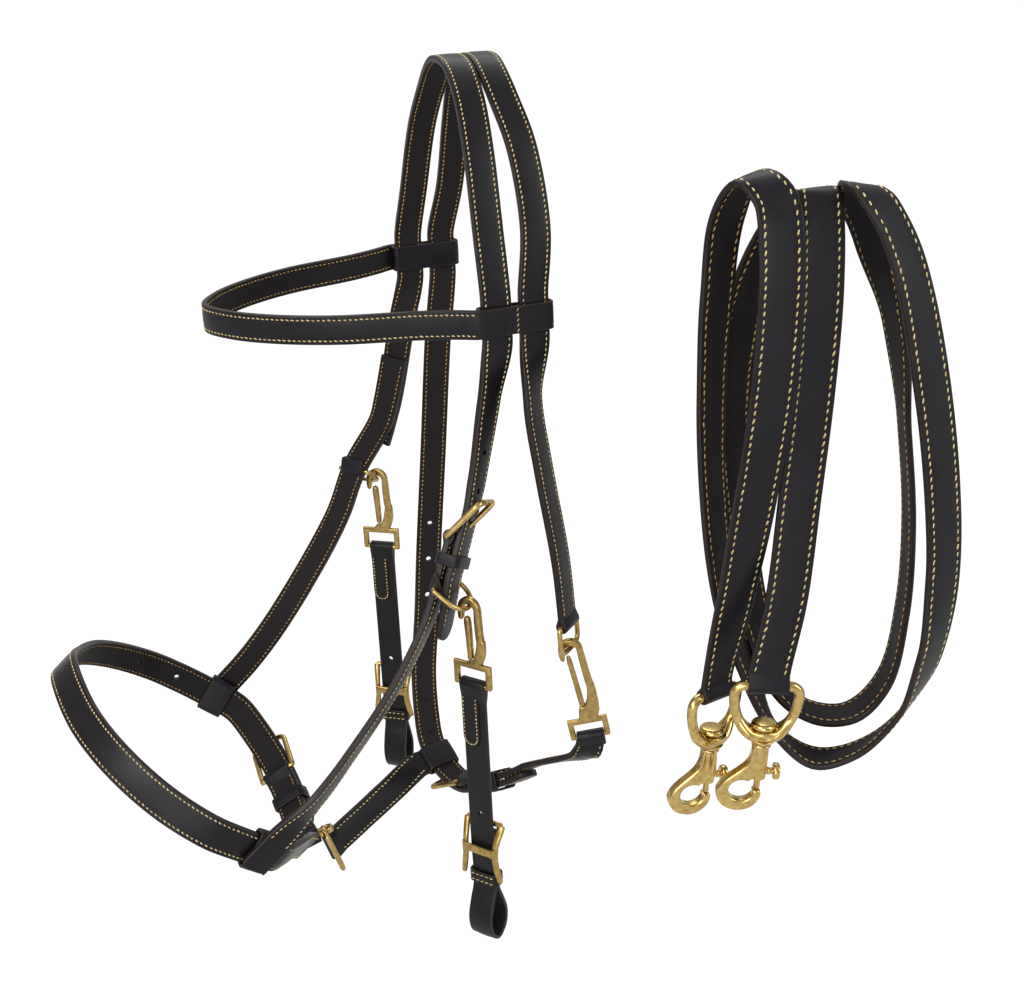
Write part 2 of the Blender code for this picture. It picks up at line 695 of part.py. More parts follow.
# Jaw strap, with a loop at its rear end for the throat latch
loop_s = rear_path.near((-39.5, 28, -505))
loop_row = rear_path.at(loop_s)
rim = CROWN_WIDTH / 2 + LOOP_SLIDE + WALL * 0.7
toward = loop_row[3] if loop_row[3].x < 0 else -loop_row[3]
side_face = loop_row[2] if loop_row[2].dot(Vector((0, -0.5, 0.84))) > 0 else -loop_row[2]
jaw_end = loop_row[0] + toward * (rim + 5)
jaw_path = smooth([
    (*JAW_BAR, (0.15, -0.93, 0.3)),
    (*JAW_BAR.lerp(jaw_end, 0.34), (0.1, -0.95, 0.27)),
    (*JAW_BAR.lerp(jaw_end, 0.67), (0, -0.93, 0.35)),
    (*(loop_row[0] + toward * (rim + 5)), side_face),
    (*(loop_row[0] + toward * rim), side_face),
])
jaw_strap = strap("jaw_strap", jaw_path, JAW_WIDTH, DOUBLE)
eye(jaw_strap, JAW_BAR, JAW_DOWN, JAW_WIDTH, RING_WIRE)
join(jaw_strap, plate("jaw_loop", loop_outline(CROWN_WIDTH, DOUBLE, WALL, LOOP_SLIDE), JAW_WIDTH - 1.0,
                      axes(loop_row[0], loop_row[3], loop_row[2], -loop_row[1]), cutters))

# Throat strap: from its buckle under the jaw to the snap on the near side
throat_bar_s = rear_path.near((-28, -5, -514.5))
bar_row = rear_path.at(throat_bar_s)
THROAT_BAR = bar_row[0] - bar_row[2] * BILLET_LIFT
SNAP_EYE = Vector((33, -100, -436))
throat_rows = [(*THROAT_BAR, tuple(bar_row[2]))]
for ahead in (12, 24, 36, 50, rear_path.length - throat_bar_s):
    p, t, n, w = rear_path.at(throat_bar_s + ahead)
    throat_rows.append((*(p - n * (LAYER + 0.7)), tuple(n)))
throat_rows += [
    (19, -72, -467, (0, -0.6, -0.8)),
    (28, -91, -456, (-0.1, -0.75, -0.65)),
    (31.5, -99, -447, (-0.35, -0.94, 0)),
    (*SNAP_EYE, (-0.35, -0.94, 0)),
]
throat_path = smooth(throat_rows)
throat = strap("throat_strap", throat_path, CROWN_WIDTH, DOUBLE)
d, up, w = buckle("throat_buckle", THROAT_BAR, -bar_row[1], bar_row[2], CROWN_WIDTH, 24, finish=BRASS)
eye(throat, THROAT_BAR, w, CROWN_WIDTH, BUCKLE_WIRE)
tongue_notch(throat, THROAT_BAR, d, up, w)
tongue_slot(crown_rear, THROAT_BAR, d, up, w)

# Keepers
row = cheek_near_path.at(ring_s * 0.5)
cheek_keeper = keeper("cheek_keeper", row, CROWN_WIDTH, DOUBLE + BILLET_LIFT + 0.6, BILLET_LIFT / 2, 7.5)
row = nose_path.at(nose_bar_s + 22)
nose_keeper = keeper("noseband_keeper", row, NOSE_WIDTH, 2 * DOUBLE + 1.4, -(LAYER + 0.6) / 2)
row = rear_path.at(throat_bar_s + 34)
throat_keeper = keeper("throat_keeper", row, CROWN_WIDTH, 2 * DOUBLE + 1.4, -(LAYER + 0.7) / 2)

# Bit rings
def bit_ring(name, bar, face, across):
    drop = radians(39)
    d = face * cos(drop) - UP * sin(drop)
    radius = CROWN_WIDTH / 2 + BUCKLE_SIDE + 0.7 + BIT_RING_WIRE
    centre = bar + d * (BIT_RING_DEPTH - radius)
    points = [bar - across * (radius - 1.2), bar + across * (radius - 1.2), bar + across * radius + d * 1.2]
    points += [centre + (across * cos(a) + d * sin(a)) * radius for a in [pi * k / 10 for k in range(11)]]
    points.append(bar - across * radius + d * 1.2)
    ring = wire(name, points, BIT_RING_WIRE, True)
    set_origin(ring, bar)
    return centre, d, radius


near_across = RING_FACE.cross(UP).normalized()
near_bow = bit_ring("bit_ring_near", RING_BAR, RING_FACE, near_across)
eye(cheek_near, RING_BAR, near_across, CROWN_WIDTH, BIT_RING_WIRE)
far_across = far_face.cross(UP).normalized()
far_bow = bit_ring("bit_ring_far", far_bar, far_face, far_across)
eye(cheek_far, far_bar, far_across, CROWN_WIDTH, BIT_RING_WIRE)

# Throat ring, and the long snap that closes the throat latch on it
rear_end = rear_path.at(0)
RING_TOP = rear_end[0]
ring_across = rear_end[3] if rear_end[3].x > 0 else -rear_end[3]
RING_SPAN = 19.0
ring_down = (Vector((0.05, 0, -1)) - ring_across * ring_across.dot(Vector((0.05, 0, -1)))).normalized()
throat_ring = wire("throat_ring", oval(RING_TOP + ring_down * RING_SPAN / 2, ring_across, ring_down,
                                       CROWN_WIDTH + 2 * BUCKLE_SIDE + 2 * RING_WIRE, RING_SPAN, 2.5,
                                       far_corner=6.5),
                   RING_WIRE, True)
eye(crown_rear, RING_TOP, ring_across, CROWN_WIDTH, RING_WIRE)
set_origin(throat_ring, RING_TOP)
THROAT_HOOK = RING_TOP + ring_down * RING_SPAN


def trigger_snap(name, gate_name, spot, drop, eye_width, gate_length=28.0):
    """A hook over a ring, with a gate that swings in and an eye for a strap. The spot's origin is the middle
    of the hook's bend, its X is across the hook and its Y is up."""
    inner = HOOK_GAP / 2
    outer = inner + HOOK_ARCH
    base = -(drop - 18)
    arch = [(outer * cos(a), outer * sin(a)) for a in [pi * k / 8 for k in range(9)]]
    inside = [(inner * cos(a), inner * sin(a)) for a in [pi - pi * k / 6 for k in range(7)]]
    pivot_y = -5.0 - gate_length
    outline = [(5.5, base - 5), (8.6, base + 6), *arch, (-outer, -4), (-outer + 1.2, -7.6), (-inner - 1.4, -7.6),
               *inside, (inner, pivot_y + 6), (inner - 1.0, pivot_y - 2), (-3.6, pivot_y - 3.2), (-4.2, base - 5)]
    body = plate(name, [outline], HOOK_THICK, spot, finish=OLD_BRASS, soften=0.7)
    x, y = Vector(spot.col[0][:3]), Vector(spot.col[1][:3])
    middle = spot.translation - y * (drop - 6.75)
    half = eye_width / 2 - BUCKLE_WIRE
    corners = [(half, 6.75), (-half, 6.75), (-half, -6.75), (half, -6.75)]
    ring = []
    for k, (cx, cy) in enumerate(corners):
        for j in range(3):
            a = pi / 2 * (k + j / 2)
            ring.append(middle + x * (cx - (3 if cx > 0 else -3) + 3 * cos(a)) + y * (cy - (3 if cy > 0 else -3) + 3 * sin(a)))
    join(body, wire(name + "_eye", ring, BUCKLE_WIRE, True, collection=cutters, finish=None))
    pivot = spot.translation - x * 0.8 + y * pivot_y
    gate = [(2.3 * cos(a), pivot_y + 2.3 * sin(a)) for a in [-pi + pi * k / 6 for k in range(7)]]
    gate = [(gx - 0.8, gy) for gx, gy in gate]
    top = -inner + FIT
    gate += [(top + 3.0, -6.2), (top + 2.4, -4.9), (top + 0.2, -4.9)]
    flap = plate(gate_name, [gate], HOOK_THICK, spot, finish=OLD_BRASS, soften=0.5)
    set_origin(body, spot.translation)
    set_origin(flap, pivot)
    return spot.translation - y * drop, x


def hook_seat(ring_wire, tilt):
    """How far the hook's bend hangs below the middle of a ring's wire that crosses it at a tilt, in radians."""
    return HOOK_GAP / 2 - ring_wire / cos(tilt) - FIT - HOOK_THICK / 2 * tan(tilt)


snap_up = (THROAT_HOOK - SNAP_EYE).normalized()
snap_face = Vector((-0.35, -0.94, 0))
snap_face = (snap_face - snap_up * snap_face.dot(snap_up)).normalized()
snap_across = snap_up.cross(snap_face)
hook_point = THROAT_HOOK - snap_up * hook_seat(RING_WIRE, radians(12))
eye_bar, eye_axis = trigger_snap("throat_snap", "throat_snap_gate", axes(hook_point, snap_across, snap_up, snap_face),
                                 (hook_point - SNAP_EYE).length, CROWN_WIDTH + 2 * BUCKLE_SIDE + 4 * BUCKLE_WIRE,
                                 40.0)
eye(throat, eye_bar, eye_axis, CROWN_WIDTH, BUCKLE_WIRE)

# Bit hangers: the same five pieces on both sides, hooked on the bit rings
CONWAY = -176.0


def hanger(side, hook, turn, tilt=0.0):
    """One bit hanger below its hook point. turn is the direction of its width, in degrees from the X axis."""
    across = Vector((cos(radians(turn)), sin(radians(turn)), 0))
    n = across.cross(UP)
    seat = hook_seat(BIT_RING_WIRE, tilt)
    spot = axes(hook - UP * seat, across, UP, n)
    bar, x = trigger_snap(f"hanger_snap_{side}", f"hanger_gate_{side}", spot, EYE_BAR_DROP - seat, EYE_WIDTH)
    back = -(SINGLE + FIT + 0.15)

    def station(y, z, fy, fz):
        p = hook + n * y + UP * z
        return (*p, tuple(n * fy + UP * fz))

    route = smooth([
        station(0, -EYE_BAR_DROP, 1, 0),
        station(0, -110, 1, 0),
        station(0, CONWAY, 1, 0),
        station(0, -206, 1, 0),
        station(4.2, -217, 0.95, 0.3),
        station(7.6, -229, 1, -0.1),
        station(5.5, -240, 0.7, -0.7),
        station(-2, -246, 0, -1),
        station(-9.5, -240, -0.7, -0.7),
        station(-11.4, -229, -1, -0.1),
        station(-7.6, -217, -0.95, 0.3),
        station(back, -206, -1, 0),
        station(back, -190, -1, 0),
        station(back, -162, -1, 0),
    ])
    made = strap(f"hanger_strap_{side}", route, HANG_WIDTH, SINGLE, turn=14)
    fold = route.part(3, 44).raised(-1.1)
    join(made, strap(f"hanger_fold_{side}", fold, HANG_WIDTH - 0.9, DOUBLE + 0.4, collection=cutters))
    eye(made, bar, x, HANG_WIDTH, BUCKLE_WIRE)
    punched(made, route, [route.near(hook + UP * -150)], SINGLE * 1.05)

    arm = HANG_WIDTH / 2 + BUCKLE_SIDE + 1.7
    front = SINGLE / 2 + FIT + 2.4
    behind = -(SINGLE / 2 + FIT + 1.7)
    points = []
    for s in (-1, 1):
        one = [(s * (arm + 2.8), 2.5, CONWAY - 22), (s * (arm + 0.6), 3.4, CONWAY - 11), (s * arm, 3.2, CONWAY),
               (s * (arm + 0.6), 1.0, CONWAY + 9), (s * (arm + 1.6), behind, CONWAY + 18)]
        points += one if s < 0 else list(reversed(one))
    places = [hook + across * px + n * py + UP * pz for px, py, pz in points]
    frame_wire = wire(f"hanger_buckle_{side}", places, 1.7, finish=OLD_BRASS)
    left = hook + across * -arm + n * front + UP * CONWAY
    right = hook + across * arm + n * front + UP * CONWAY
    join(frame_wire, rod(f"hanger_bar_{side}", left, right, 2.4, sides=12))
    row = route.at(route.near(hook + UP * -199))
    keeper(f"hanger_keeper_{side}", row, HANG_WIDTH, 2 * SINGLE + 0.6, back / 2)


centre, d, radius = near_bow
hanger("near", centre + d * radius, -53)
centre, d, radius = far_bow
bow_angle = radians(60)
side_way = far_across if far_across.y < 0 else -far_across
bow_rise = abs((side_way * cos(bow_angle) - d * sin(bow_angle)).z)
hanger("far", centre + side_way * radius * sin(bow_angle) + d * radius * cos(bow_angle), -35, asin(bow_rise))

# Reins: one long strap laid in a hank, with a ring and a swivel snap at each end
turn = Matrix.Rotation(radians(REINS_TURN), 3, "Z")


def rein_point(u, d, z):
    return Vector(REINS_AT) + turn @ Vector((u, -d, z))


def rein_way(u, d, z):
    return turn @ Vector((u, -d, z))


RIGHT_END = (-39.4, 28.0, -123.7)
LEFT_END = (-67.5, 2.0, -141.0)
REIN_LEAN = 5.0
rein_down = Vector((-sin(radians(REIN_LEAN)), 0, -cos(radians(REIN_LEAN))))
LEFT_FACE = (sin(radians(LEFT_TURN)), cos(radians(LEFT_TURN)), 0)
rein_stations = [
    (RIGHT_END[0], RIGHT_END[1], RIGHT_END[2], (0, 1, 0)),
    (RIGHT_END[0] - rein_down.x * 12, RIGHT_END[1] - 0.5, RIGHT_END[2] - rein_down.z * 12, (0, 1, 0)),
    (-28, 20, -69, (0, 1, 0)),
    (-20, 13, -4, (0, 1, 0)),
    (-14, 12, 58, (0.05, 1, 0)),
    (-11, 12, 116, (0.05, 1, 0.1)),
    (-11, 7, 158, (0.05, 0.8, 0.6)),
    (-11, -6, 171, (0, 0, 1)),
    (-22, -21, 158, (-0.1, -0.8, 0.6)),
    (-43, -32, 112, (-0.3, -1, 0.1)),
    (-52, -40, 39, (-0.5, -0.85, 0)),
    (-48, -40, -26, (-0.5, -0.85, 0)),
    (-40, -36, -92, (-0.6, -0.7, -0.1)),
    (-26, -32, -146, (-0.7, -0.4, -0.6)),
    (-4, -30, -172, (-0.3, -0.1, -1)),
    (25, -31, -176, (0.4, 0, -0.9)),
    (46, -32, -154, (0.8, 0, -0.6)),
    (56, -33, -104, (1, 0, -0.2)),
    (57, -33, -42, (1, 0, 0)),
    (51, -32, 20, (1, 0, 0.1)),
    (42, -30, 84, (0.9, -0.3, 0.2)),
    (26, -26, 136, (0.6, -0.7, 0.4)),
    (15, -16, 163, (0.3, -0.7, 0.7)),
    (13, -2, 173, (0.2, 0, 1)),
    (21, 11, 165, (0.4, 0.6, 0.7)),
    (36, 16, 133, (0.5, 0.8, 0.4)),
    (53, 17, 60, (0.45, 0.9, 0.1)),
    (63, 17, -10, (0.45, 0.9, 0)),
    (66, 16, -60, (0.45, 0.85, 0)),
    (62, 14, -112, (0.6, 0.75, -0.3)),
    (48, 9, -154, (0.6, 0.4, -0.7)),
    (24, 1, -184, (0.3, 0.2, -1)),
    (-3, -5, -193, (-0.1, 0, -1)),
    (-27, -10, -175, (-0.8, 0, -0.7)),
    (-43.5, -17, -136, (-0.9, -0.4, -0.3)),
    (-60, -18, -78, (-0.8, -0.6, -0.1)),
    (-67, -19, -10, (-0.75, -0.66, 0)),
    (-68, -20, 50, (-0.7, -0.7, 0)),
    (-65, -20, 110, (-0.6, -0.8, 0.1)),
    (-60, -16, 156, (-0.4, -0.7, 0.5)),
    (-50, -2, 181, (-0.15, 0, 1)),
    (-38, 13, 172, (0, 0.6, 0.8)),
    (-35, 20, 146, (0, 0.95, 0.3)),
    (-36, 22, 100, (0, 1, 0)),
    (-39, 21, 58, (0, 1, 0)),
    (-47, 18, -4, (0.12, 1, 0)),
    (-57, 10, -72, (0.35, 0.93, 0)),
    (LEFT_END[0] - rein_down.x * 12, LEFT_END[1] + 0.5, LEFT_END[2] - rein_down.z * 12, LEFT_FACE),
    (LEFT_END[0], LEFT_END[1], LEFT_END[2], LEFT_FACE),
]
rein_path = smooth([(*rein_point(*row[:3]), tuple(rein_way(*row[3]))) for row in rein_stations], 5.0)
rein = strap("rein_strap", rein_path, REIN_WIDTH, REIN_THICK, turn=12, most=36)


def snap_outline():
    """The outline of a bolt snap in its own plane: X across, Y up, the bolt and the swivel on X = 0."""
    reach = 9.6
    left = [(4.9, 9), (4.9, SNAP_NECK), (-4.9, SNAP_NECK), (-6.3, 24.3), (-11.4, 17.9), (-18, 13.2), (-23, 8), (-25, 2.5),
            (-24, -3.2), (-20.3, -8.2), (-14.7, -11.7), (-8.5, -13.2), (-2.2, -11.7), (2.2, -8), (3.6, -3), (3.2, 0.4),
            (-2.9, 0.4)]
    bend = [radians(a) for a in range(-24, -316, -30)]
    hole = [(-reach + 6.7 * cos(a), 6.7 * sin(a)) for a in bend]
    return left + hole + [(-5.8, 7.5), (-4.9, 9)]


def bolt_snap(side, end, turned, swivel):
    """A rein ring with a flared boss below, and the snap that turns in that boss."""
    x = rein_way(cos(radians(REIN_LEAN)), 0, -sin(radians(REIN_LEAN)))
    y = rein_way(-rein_down.x, 0, -rein_down.z)
    x = Matrix.Rotation(radians(turned), 3, y) @ x
    z = x.cross(y)
    top = rein_point(*end)
    half_w = REIN_RING_WIDTH / 2 - REIN_RING_WIRE
    half_h = REIN_RING_HEIGHT / 2 - REIN_RING_WIRE
    straight, corner = REIN_WIDTH / 2 + 0.9, half_w - REIN_WIDTH / 2 - 0.9
    points = [(straight + corner * sin(a), -corner + corner * cos(a)) for a in [pi / 8 * k for k in range(4)]]
    low = -2 * half_h
    for k in range(13):
        a = pi / 12 * k
        points.append((half_w * cos(a), -corner + (low + corner) * sin(a)))
    points += [(-px, py) for px, py in reversed(points[:4])]
    ring = wire(f"rein_ring_{side}", [top + x * px + y * py for px, py in points], REIN_RING_WIRE, True, resolution=2)
    eye(rein, top, x, REIN_WIDTH, REIN_RING_WIRE, 2.0)
    boss_low, boss_high = low - REIN_RING_WIRE - 1.0, low + REIN_RING_WIRE + 2.4
    boss = [(-BOSS_DEPTH * 0.42, boss_low), (BOSS_DEPTH * 0.42, boss_low), (BOSS_WIDTH / 2, boss_high - 1.5),
            (BOSS_WIDTH / 2 - 1, boss_high), (1 - BOSS_WIDTH / 2, boss_high), (-BOSS_WIDTH / 2, boss_high - 1.5)]
    join(ring, plate(f"rein_boss_{side}", [boss], BOSS_DEPTH, axes(top, x, y, z), cutters, soften=1.5))
    cut(ring, rod(f"rein_boss_bore_{side}", top + y * (boss_low - 4), top + y * (boss_high + 4), 2.9, sides=12))
    set_origin(ring, top)

    swing = Matrix.Rotation(radians(swivel), 3, y)
    sx, sz = swing @ x, swing @ z
    origin = top + y * (boss_low - FIT - SNAP_NECK)
    spot = axes(origin, sx, y, sz)
    body = plate(f"rein_snap_{side}", [snap_outline()], 7.0, spot, finish=BRASS, soften=1.6)
    join(body, rod(f"snap_barrel_{side}", origin + y * 9.2, origin + y * (SNAP_NECK - 0.4), 5.2))
    join(body, rod(f"snap_pin_{side}", origin + y * 25.5, top + y * (boss_high + 1.5), 2.9 - FIT - 0.1, sides=12))
    bm = bmesh.new()
    head = axes((top + y * (boss_high + FIT + 3.4)), sx, y, sz)
    bmesh.ops.create_uvsphere(bm, u_segments=12, v_segments=8, radius=1,
                              matrix=pose(head) @ Matrix.Rotation(-pi / 2, 4, "X") @ Matrix.Diagonal((0.007, 0.007, 0.0055, 1)))
    dome = from_bmesh(f"snap_dome_{side}", bm, cutters)
    cut(dome, rod(f"dome_flat_{side}", top + y * (boss_high + FIT - 12), top + y * (boss_high + FIT), 12))
    join(body, dome)
    cut(body, rod(f"snap_bore_{side}", origin + y * 5, origin + y * 25, SNAP_BOLT + FIT + 0.05, sides=12))
    slot_low, slot_high = SNAP_KNOB - 2.3, SNAP_KNOB + SNAP_TRAVEL + 2.3
    cut(body, box(f"snap_slot_{side}", axes(origin + sx * 4 + y * (slot_low + slot_high) / 2, sx, y, sz),
                  (8, slot_high - slot_low, 4.4)))
    set_origin(body, top + y * boss_low)

    bolt = rod(f"rein_bolt_{side}", origin + y * 0.75, origin + y * 16, SNAP_BOLT, parts, 12, BRASS)
    knob = origin + y * SNAP_KNOB
    join(bolt, rod(f"bolt_stem_{side}", knob, knob + sx * 9, 1.8, sides=10))
    join(bolt, rod(f"bolt_knob_{side}", knob + sx * 8, knob + sx * 13, 4.8, sides=12))
    set_origin(bolt, origin)


bolt_snap("right", RIGHT_END, 0, 0)
bolt_snap("left", LEFT_END, LEFT_TURN, LEFT_SWIVEL)
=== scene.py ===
# %% [markdown]
# # A leather halter bridle with reins
#
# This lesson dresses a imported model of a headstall, two bit hangers and a pair of reins. The packed
# model is the fixed frame: every leather strap and every piece of brass made here takes the place of
# one of its nodes and rides on that node's body. Lengths in the code are millimetres unless a line
# says otherwise, because leather and tack hardware are made in millimetres and inches.

# %% Load the frame
from math import asin, ceil, cos, pi, radians, sin, sqrt, tan

import bmesh
import bpy
from mathutils import Matrix, Vector, noise


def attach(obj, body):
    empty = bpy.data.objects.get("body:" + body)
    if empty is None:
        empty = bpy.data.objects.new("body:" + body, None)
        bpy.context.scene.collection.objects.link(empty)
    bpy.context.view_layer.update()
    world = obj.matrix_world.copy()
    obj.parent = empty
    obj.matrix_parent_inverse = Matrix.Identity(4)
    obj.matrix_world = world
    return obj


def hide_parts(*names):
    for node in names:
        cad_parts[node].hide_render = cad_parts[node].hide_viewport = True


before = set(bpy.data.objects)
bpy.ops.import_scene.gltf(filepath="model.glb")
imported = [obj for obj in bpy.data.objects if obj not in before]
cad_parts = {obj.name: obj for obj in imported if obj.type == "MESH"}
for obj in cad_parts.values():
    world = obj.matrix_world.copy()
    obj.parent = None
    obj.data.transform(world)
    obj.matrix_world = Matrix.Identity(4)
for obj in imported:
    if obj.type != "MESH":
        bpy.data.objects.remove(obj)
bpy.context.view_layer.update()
MM = 0.001
UP = Vector((0, 0, 1))

# %% [markdown]
# ## The camera first
#
# The photograph looks a little down on the bridle, from in front of its near side. A camera is only a
# place, three axes and a lens. Its axes go straight into its matrix, so nothing has to be tracked.

# %% Camera


def linked(name, data):
    """A new object of the scene with this data."""
    made = bpy.data.objects.new(name, data)
    bpy.context.scene.collection.objects.link(made)
    return made


camera_data = bpy.data.cameras.new("camera")
camera_data.lens = 56.25
camera_data.sensor_width = 36
camera_data.clip_end = 100
camera = linked("camera", camera_data)
camera_axes = Matrix(((0.9402, -0.3380, -0.0421), (0.1630, 0.3381, 0.9268), (-0.2990, -0.8783, 0.3730)))
camera.matrix_world = Matrix.Translation((-0.314, -0.977, 0.1185)) @ camera_axes.transposed().to_4x4()
bpy.context.scene.camera = camera
print("camera at", tuple(round(x, 3) for x in camera.location))

# %% [markdown]
# ## A small helper for materials
#
# Colours are given as sRGB hex values, while a shader works in linear light, so one function
# turns the first into the second. The others add a node with its settings and its links. A link is
# given as a socket in place of a value.

# %% Material helpers


def colour(code):
    """An sRGB hex value as linear red, green and blue with full alpha."""
    shares = [int(code[i:i + 2], 16) / 255 for i in (0, 2, 4)]
    return (*[c / 12.92 if c <= 0.04045 else ((c + 0.055) / 1.055) ** 2.4 for c in shares], 1)


def node(tree, kind, settings=None, **inputs):
    """A node of this kind. Inputs go by name, with _ for a space, or by number as in in0. A socket is linked."""
    made = tree.nodes.new(kind)
    for key, value in (settings or {}).items():
        setattr(made, key, value)
    for key, value in inputs.items():
        numbered = key[:2] == "in" and key[2:].isdigit()
        socket = made.inputs[int(key[2:]) if numbered else key.replace("_", " ")]
        if isinstance(value, bpy.types.NodeSocket):
            tree.links.new(value, socket)
        else:
            socket.default_value = value
    return made


def maths(tree, operation, *values):
    """The output of a Math node. Each value is a number or a socket."""
    inputs = {f"in{k}": value for k, value in enumerate(values)}
    return node(tree, "ShaderNodeMath", {"operation": operation}, **inputs).outputs[0]


def finish_named(name):
    """A new material, its node tree, its Principled shader and the place in the object."""
    made = bpy.data.materials.new(name)
    made.use_nodes = True
    tree = made.node_tree
    return made, tree, tree.nodes["Principled BSDF"], node(tree, "ShaderNodeTexCoord").outputs["Object"]


def add_relief(tree, shader, strength, distance, height):
    relief = node(tree, "ShaderNodeBump", Strength=strength, Distance=distance, Height=height)
    tree.links.new(relief.outputs[0], shader.inputs["Normal"])


def blend_colours(tree, share, low, high):
    """Two hex colours mixed by a share from 0 to 1."""
    mix = node(tree, "ShaderNodeMix", {"data_type": "RGBA"})
    tree.links.new(share, mix.inputs[0])
    mix.inputs[6].default_value = colour(low)
    mix.inputs[7].default_value = colour(high)
    return mix.outputs[2]


def value_range(tree, source, low, high, to_low, to_high):
    return node(tree, "ShaderNodeMapRange", Value=source, From_Min=low, From_Max=high, To_Min=to_low,
                To_Max=to_high).outputs[0]


# %% [markdown]
# ## Black bridle leather
#
# Bridle leather is cowhide that is dyed black, packed with wax and rolled smooth under glass. To the
# eye it is nearly black, a little violet in the highlights, with a soft gloss that breaks up over fine
# grain. Grain lies in the colour, the roughness and the bump together. The real grain is about 0.3 mm
# and too fine to show from here, so it is drawn at about 0.9 mm. Near each edge runs a pressed crease,
# and under the stitches a shallow channel: both follow the strap, so each strap carries an attribute
# named lay, which holds the place along it, across it and through it, in metres. Dyed and waxed hide
# reflects less than a clean dielectric, so its specular level is low and a thin coat stands for the wax.

# %% Leather
CREASE_INSET, CREASE_WIDTH = 0.0012, 0.0003  # metres


def leather(name, dark, light, rough_low, rough_high, grain=0.9, bump=0.25, half=0.0095, coat=0.06, gloss=0.21):
    """half is half the strap's width in metres, and grain is the size of the grain in millimetres."""
    made, tree, shader, place = finish_named(name)
    fine = node(tree, "ShaderNodeTexNoise", Vector=place, Scale=1000 / grain, Detail=3.0, Roughness=0.6)
    broad = node(tree, "ShaderNodeTexNoise", Vector=place, Scale=38.0, Detail=4.0, Roughness=0.55)
    creases = node(tree, "ShaderNodeTexVoronoi", {"feature": "DISTANCE_TO_EDGE"}, Vector=place, Scale=420.0)
    cracks = value_range(tree, creases.outputs["Distance"], 0.0, 0.12, 1.0, 0.0)
    cloudy = value_range(tree, broad.outputs[0], 0.3, 0.72, 0.0, 1.0)
    mixed = maths(tree, "MULTIPLY_ADD", fine.outputs[0], 0.45, cloudy)
    share = value_range(tree, mixed, 0.1, 1.3, 0.0, 1.0)
    tree.links.new(blend_colours(tree, share, dark, light), shader.inputs["Base Color"])
    tree.links.new(value_range(tree, mixed, 0.1, 1.3, rough_low, rough_high), shader.inputs["Roughness"])
    lay = node(tree, "ShaderNodeAttribute", {"attribute_name": "lay"}).outputs["Vector"]
    across = node(tree, "ShaderNodeSeparateXYZ", Vector=lay).outputs["Y"]
    crease = maths(tree, "COMPARE", maths(tree, "ABSOLUTE", across), half - CREASE_INSET, CREASE_WIDTH)
    height = maths(tree, "MULTIPLY_ADD", cracks, -0.35, fine.outputs[0])
    height = maths(tree, "MULTIPLY_ADD", crease, -1.2, height)
    add_relief(tree, shader, bump, 0.0003, height)
    shader.inputs["Specular IOR Level"].default_value = gloss
    shader.inputs["Coat Weight"].default_value = coat
    shader.inputs["Coat Roughness"].default_value = 0.28
    return made


GRAIN_19 = leather("glazed_black_bridle_leather_19", "0a080b", "161318", 0.34, 0.50)
GRAIN_22 = leather("glazed_black_bridle_leather_22", "0a080b", "161318", 0.34, 0.50, half=0.011)
GRAIN_REIN = leather("glazed_black_rein_leather", "0a080c", "151219", 0.34, 0.50, half=0.0127)
GRAIN_HANGER = leather("glazed_black_hanger_leather", "0d0b0c", "1a1718", 0.38, 0.56, half=0.009)
FLESH = leather("buffed_black_flesh_side", "110e0f", "221e20", 0.62, 0.82, grain=1.4, bump=0.5, coat=0.0)
EDGE_DYE = leather("dyed_and_waxed_leather_edge", "130d0d", "281b18", 0.36, 0.54, grain=1.1, bump=0.3, coat=0.12,
                   gloss=0.26)
print("leathers:", [m.name for m in (GRAIN_19, GRAIN_22, GRAIN_REIN, GRAIN_HANGER, FLESH, EDGE_DYE)])

# %% [markdown]
# ## Waxed linen thread
#
# The bridle is sewn with golden waxed thread, about 1 mm thick. It is matt, and each stitch catches
# a little more light on its crown. On the flesh side the thread is coloured darker and more orange.

# %% Thread


def thread(name, dark, light):
    made, tree, shader, place = finish_named(name)
    speckle = node(tree, "ShaderNodeTexNoise", Vector=place, Scale=900.0, Detail=2.0)
    share = value_range(tree, speckle.outputs[0], 0.35, 0.65, 0.0, 1.0)
    tree.links.new(blend_colours(tree, share, dark, light), shader.inputs["Base Color"])
    add_relief(tree, shader, 0.4, 0.0001, speckle.outputs[0])
    shader.inputs["Roughness"].default_value = 0.62
    return made


THREAD = thread("waxed_golden_linen_thread", "c2a564", "ecd9a0")
THREAD_BACK = thread("waxed_thread_on_the_flesh_side", "a37a3e", "d2ad68")

# %% [markdown]
# ## Brass
#
# The rein rings and snaps are cast brass, tumbled and polished. The buckles, the rings and the hooks
# of the headstall are duller: their brass has darkened in the hollows. A metal's colour goes in Base
# Color with Metallic at 1, and its default index of refraction stays. Casting leaves a soft
# unevenness of about 2 mm, which shows as wavering highlights.

# %% Metals


def brass(name, dark, light, rough_low, rough_high, waver=0.12):
    made, tree, shader, place = finish_named(name)
    tarnish = node(tree, "ShaderNodeTexNoise", Vector=place, Scale=260.0, Detail=4.0, Roughness=0.6)
    cast = node(tree, "ShaderNodeTexNoise", Vector=place, Scale=480.0, Detail=2.0)
    share = value_range(tree, tarnish.outputs[0], 0.2, 0.75, 0.0, 1.0)
    tree.links.new(blend_colours(tree, share, dark, light), shader.inputs["Base Color"])
    tree.links.new(value_range(tree, tarnish.outputs[0], 0.3, 0.7, rough_high, rough_low), shader.inputs["Roughness"])
    add_relief(tree, shader, waver, 0.0005, cast.outputs[0])
    shader.inputs["Metallic"].default_value = 1
    return made


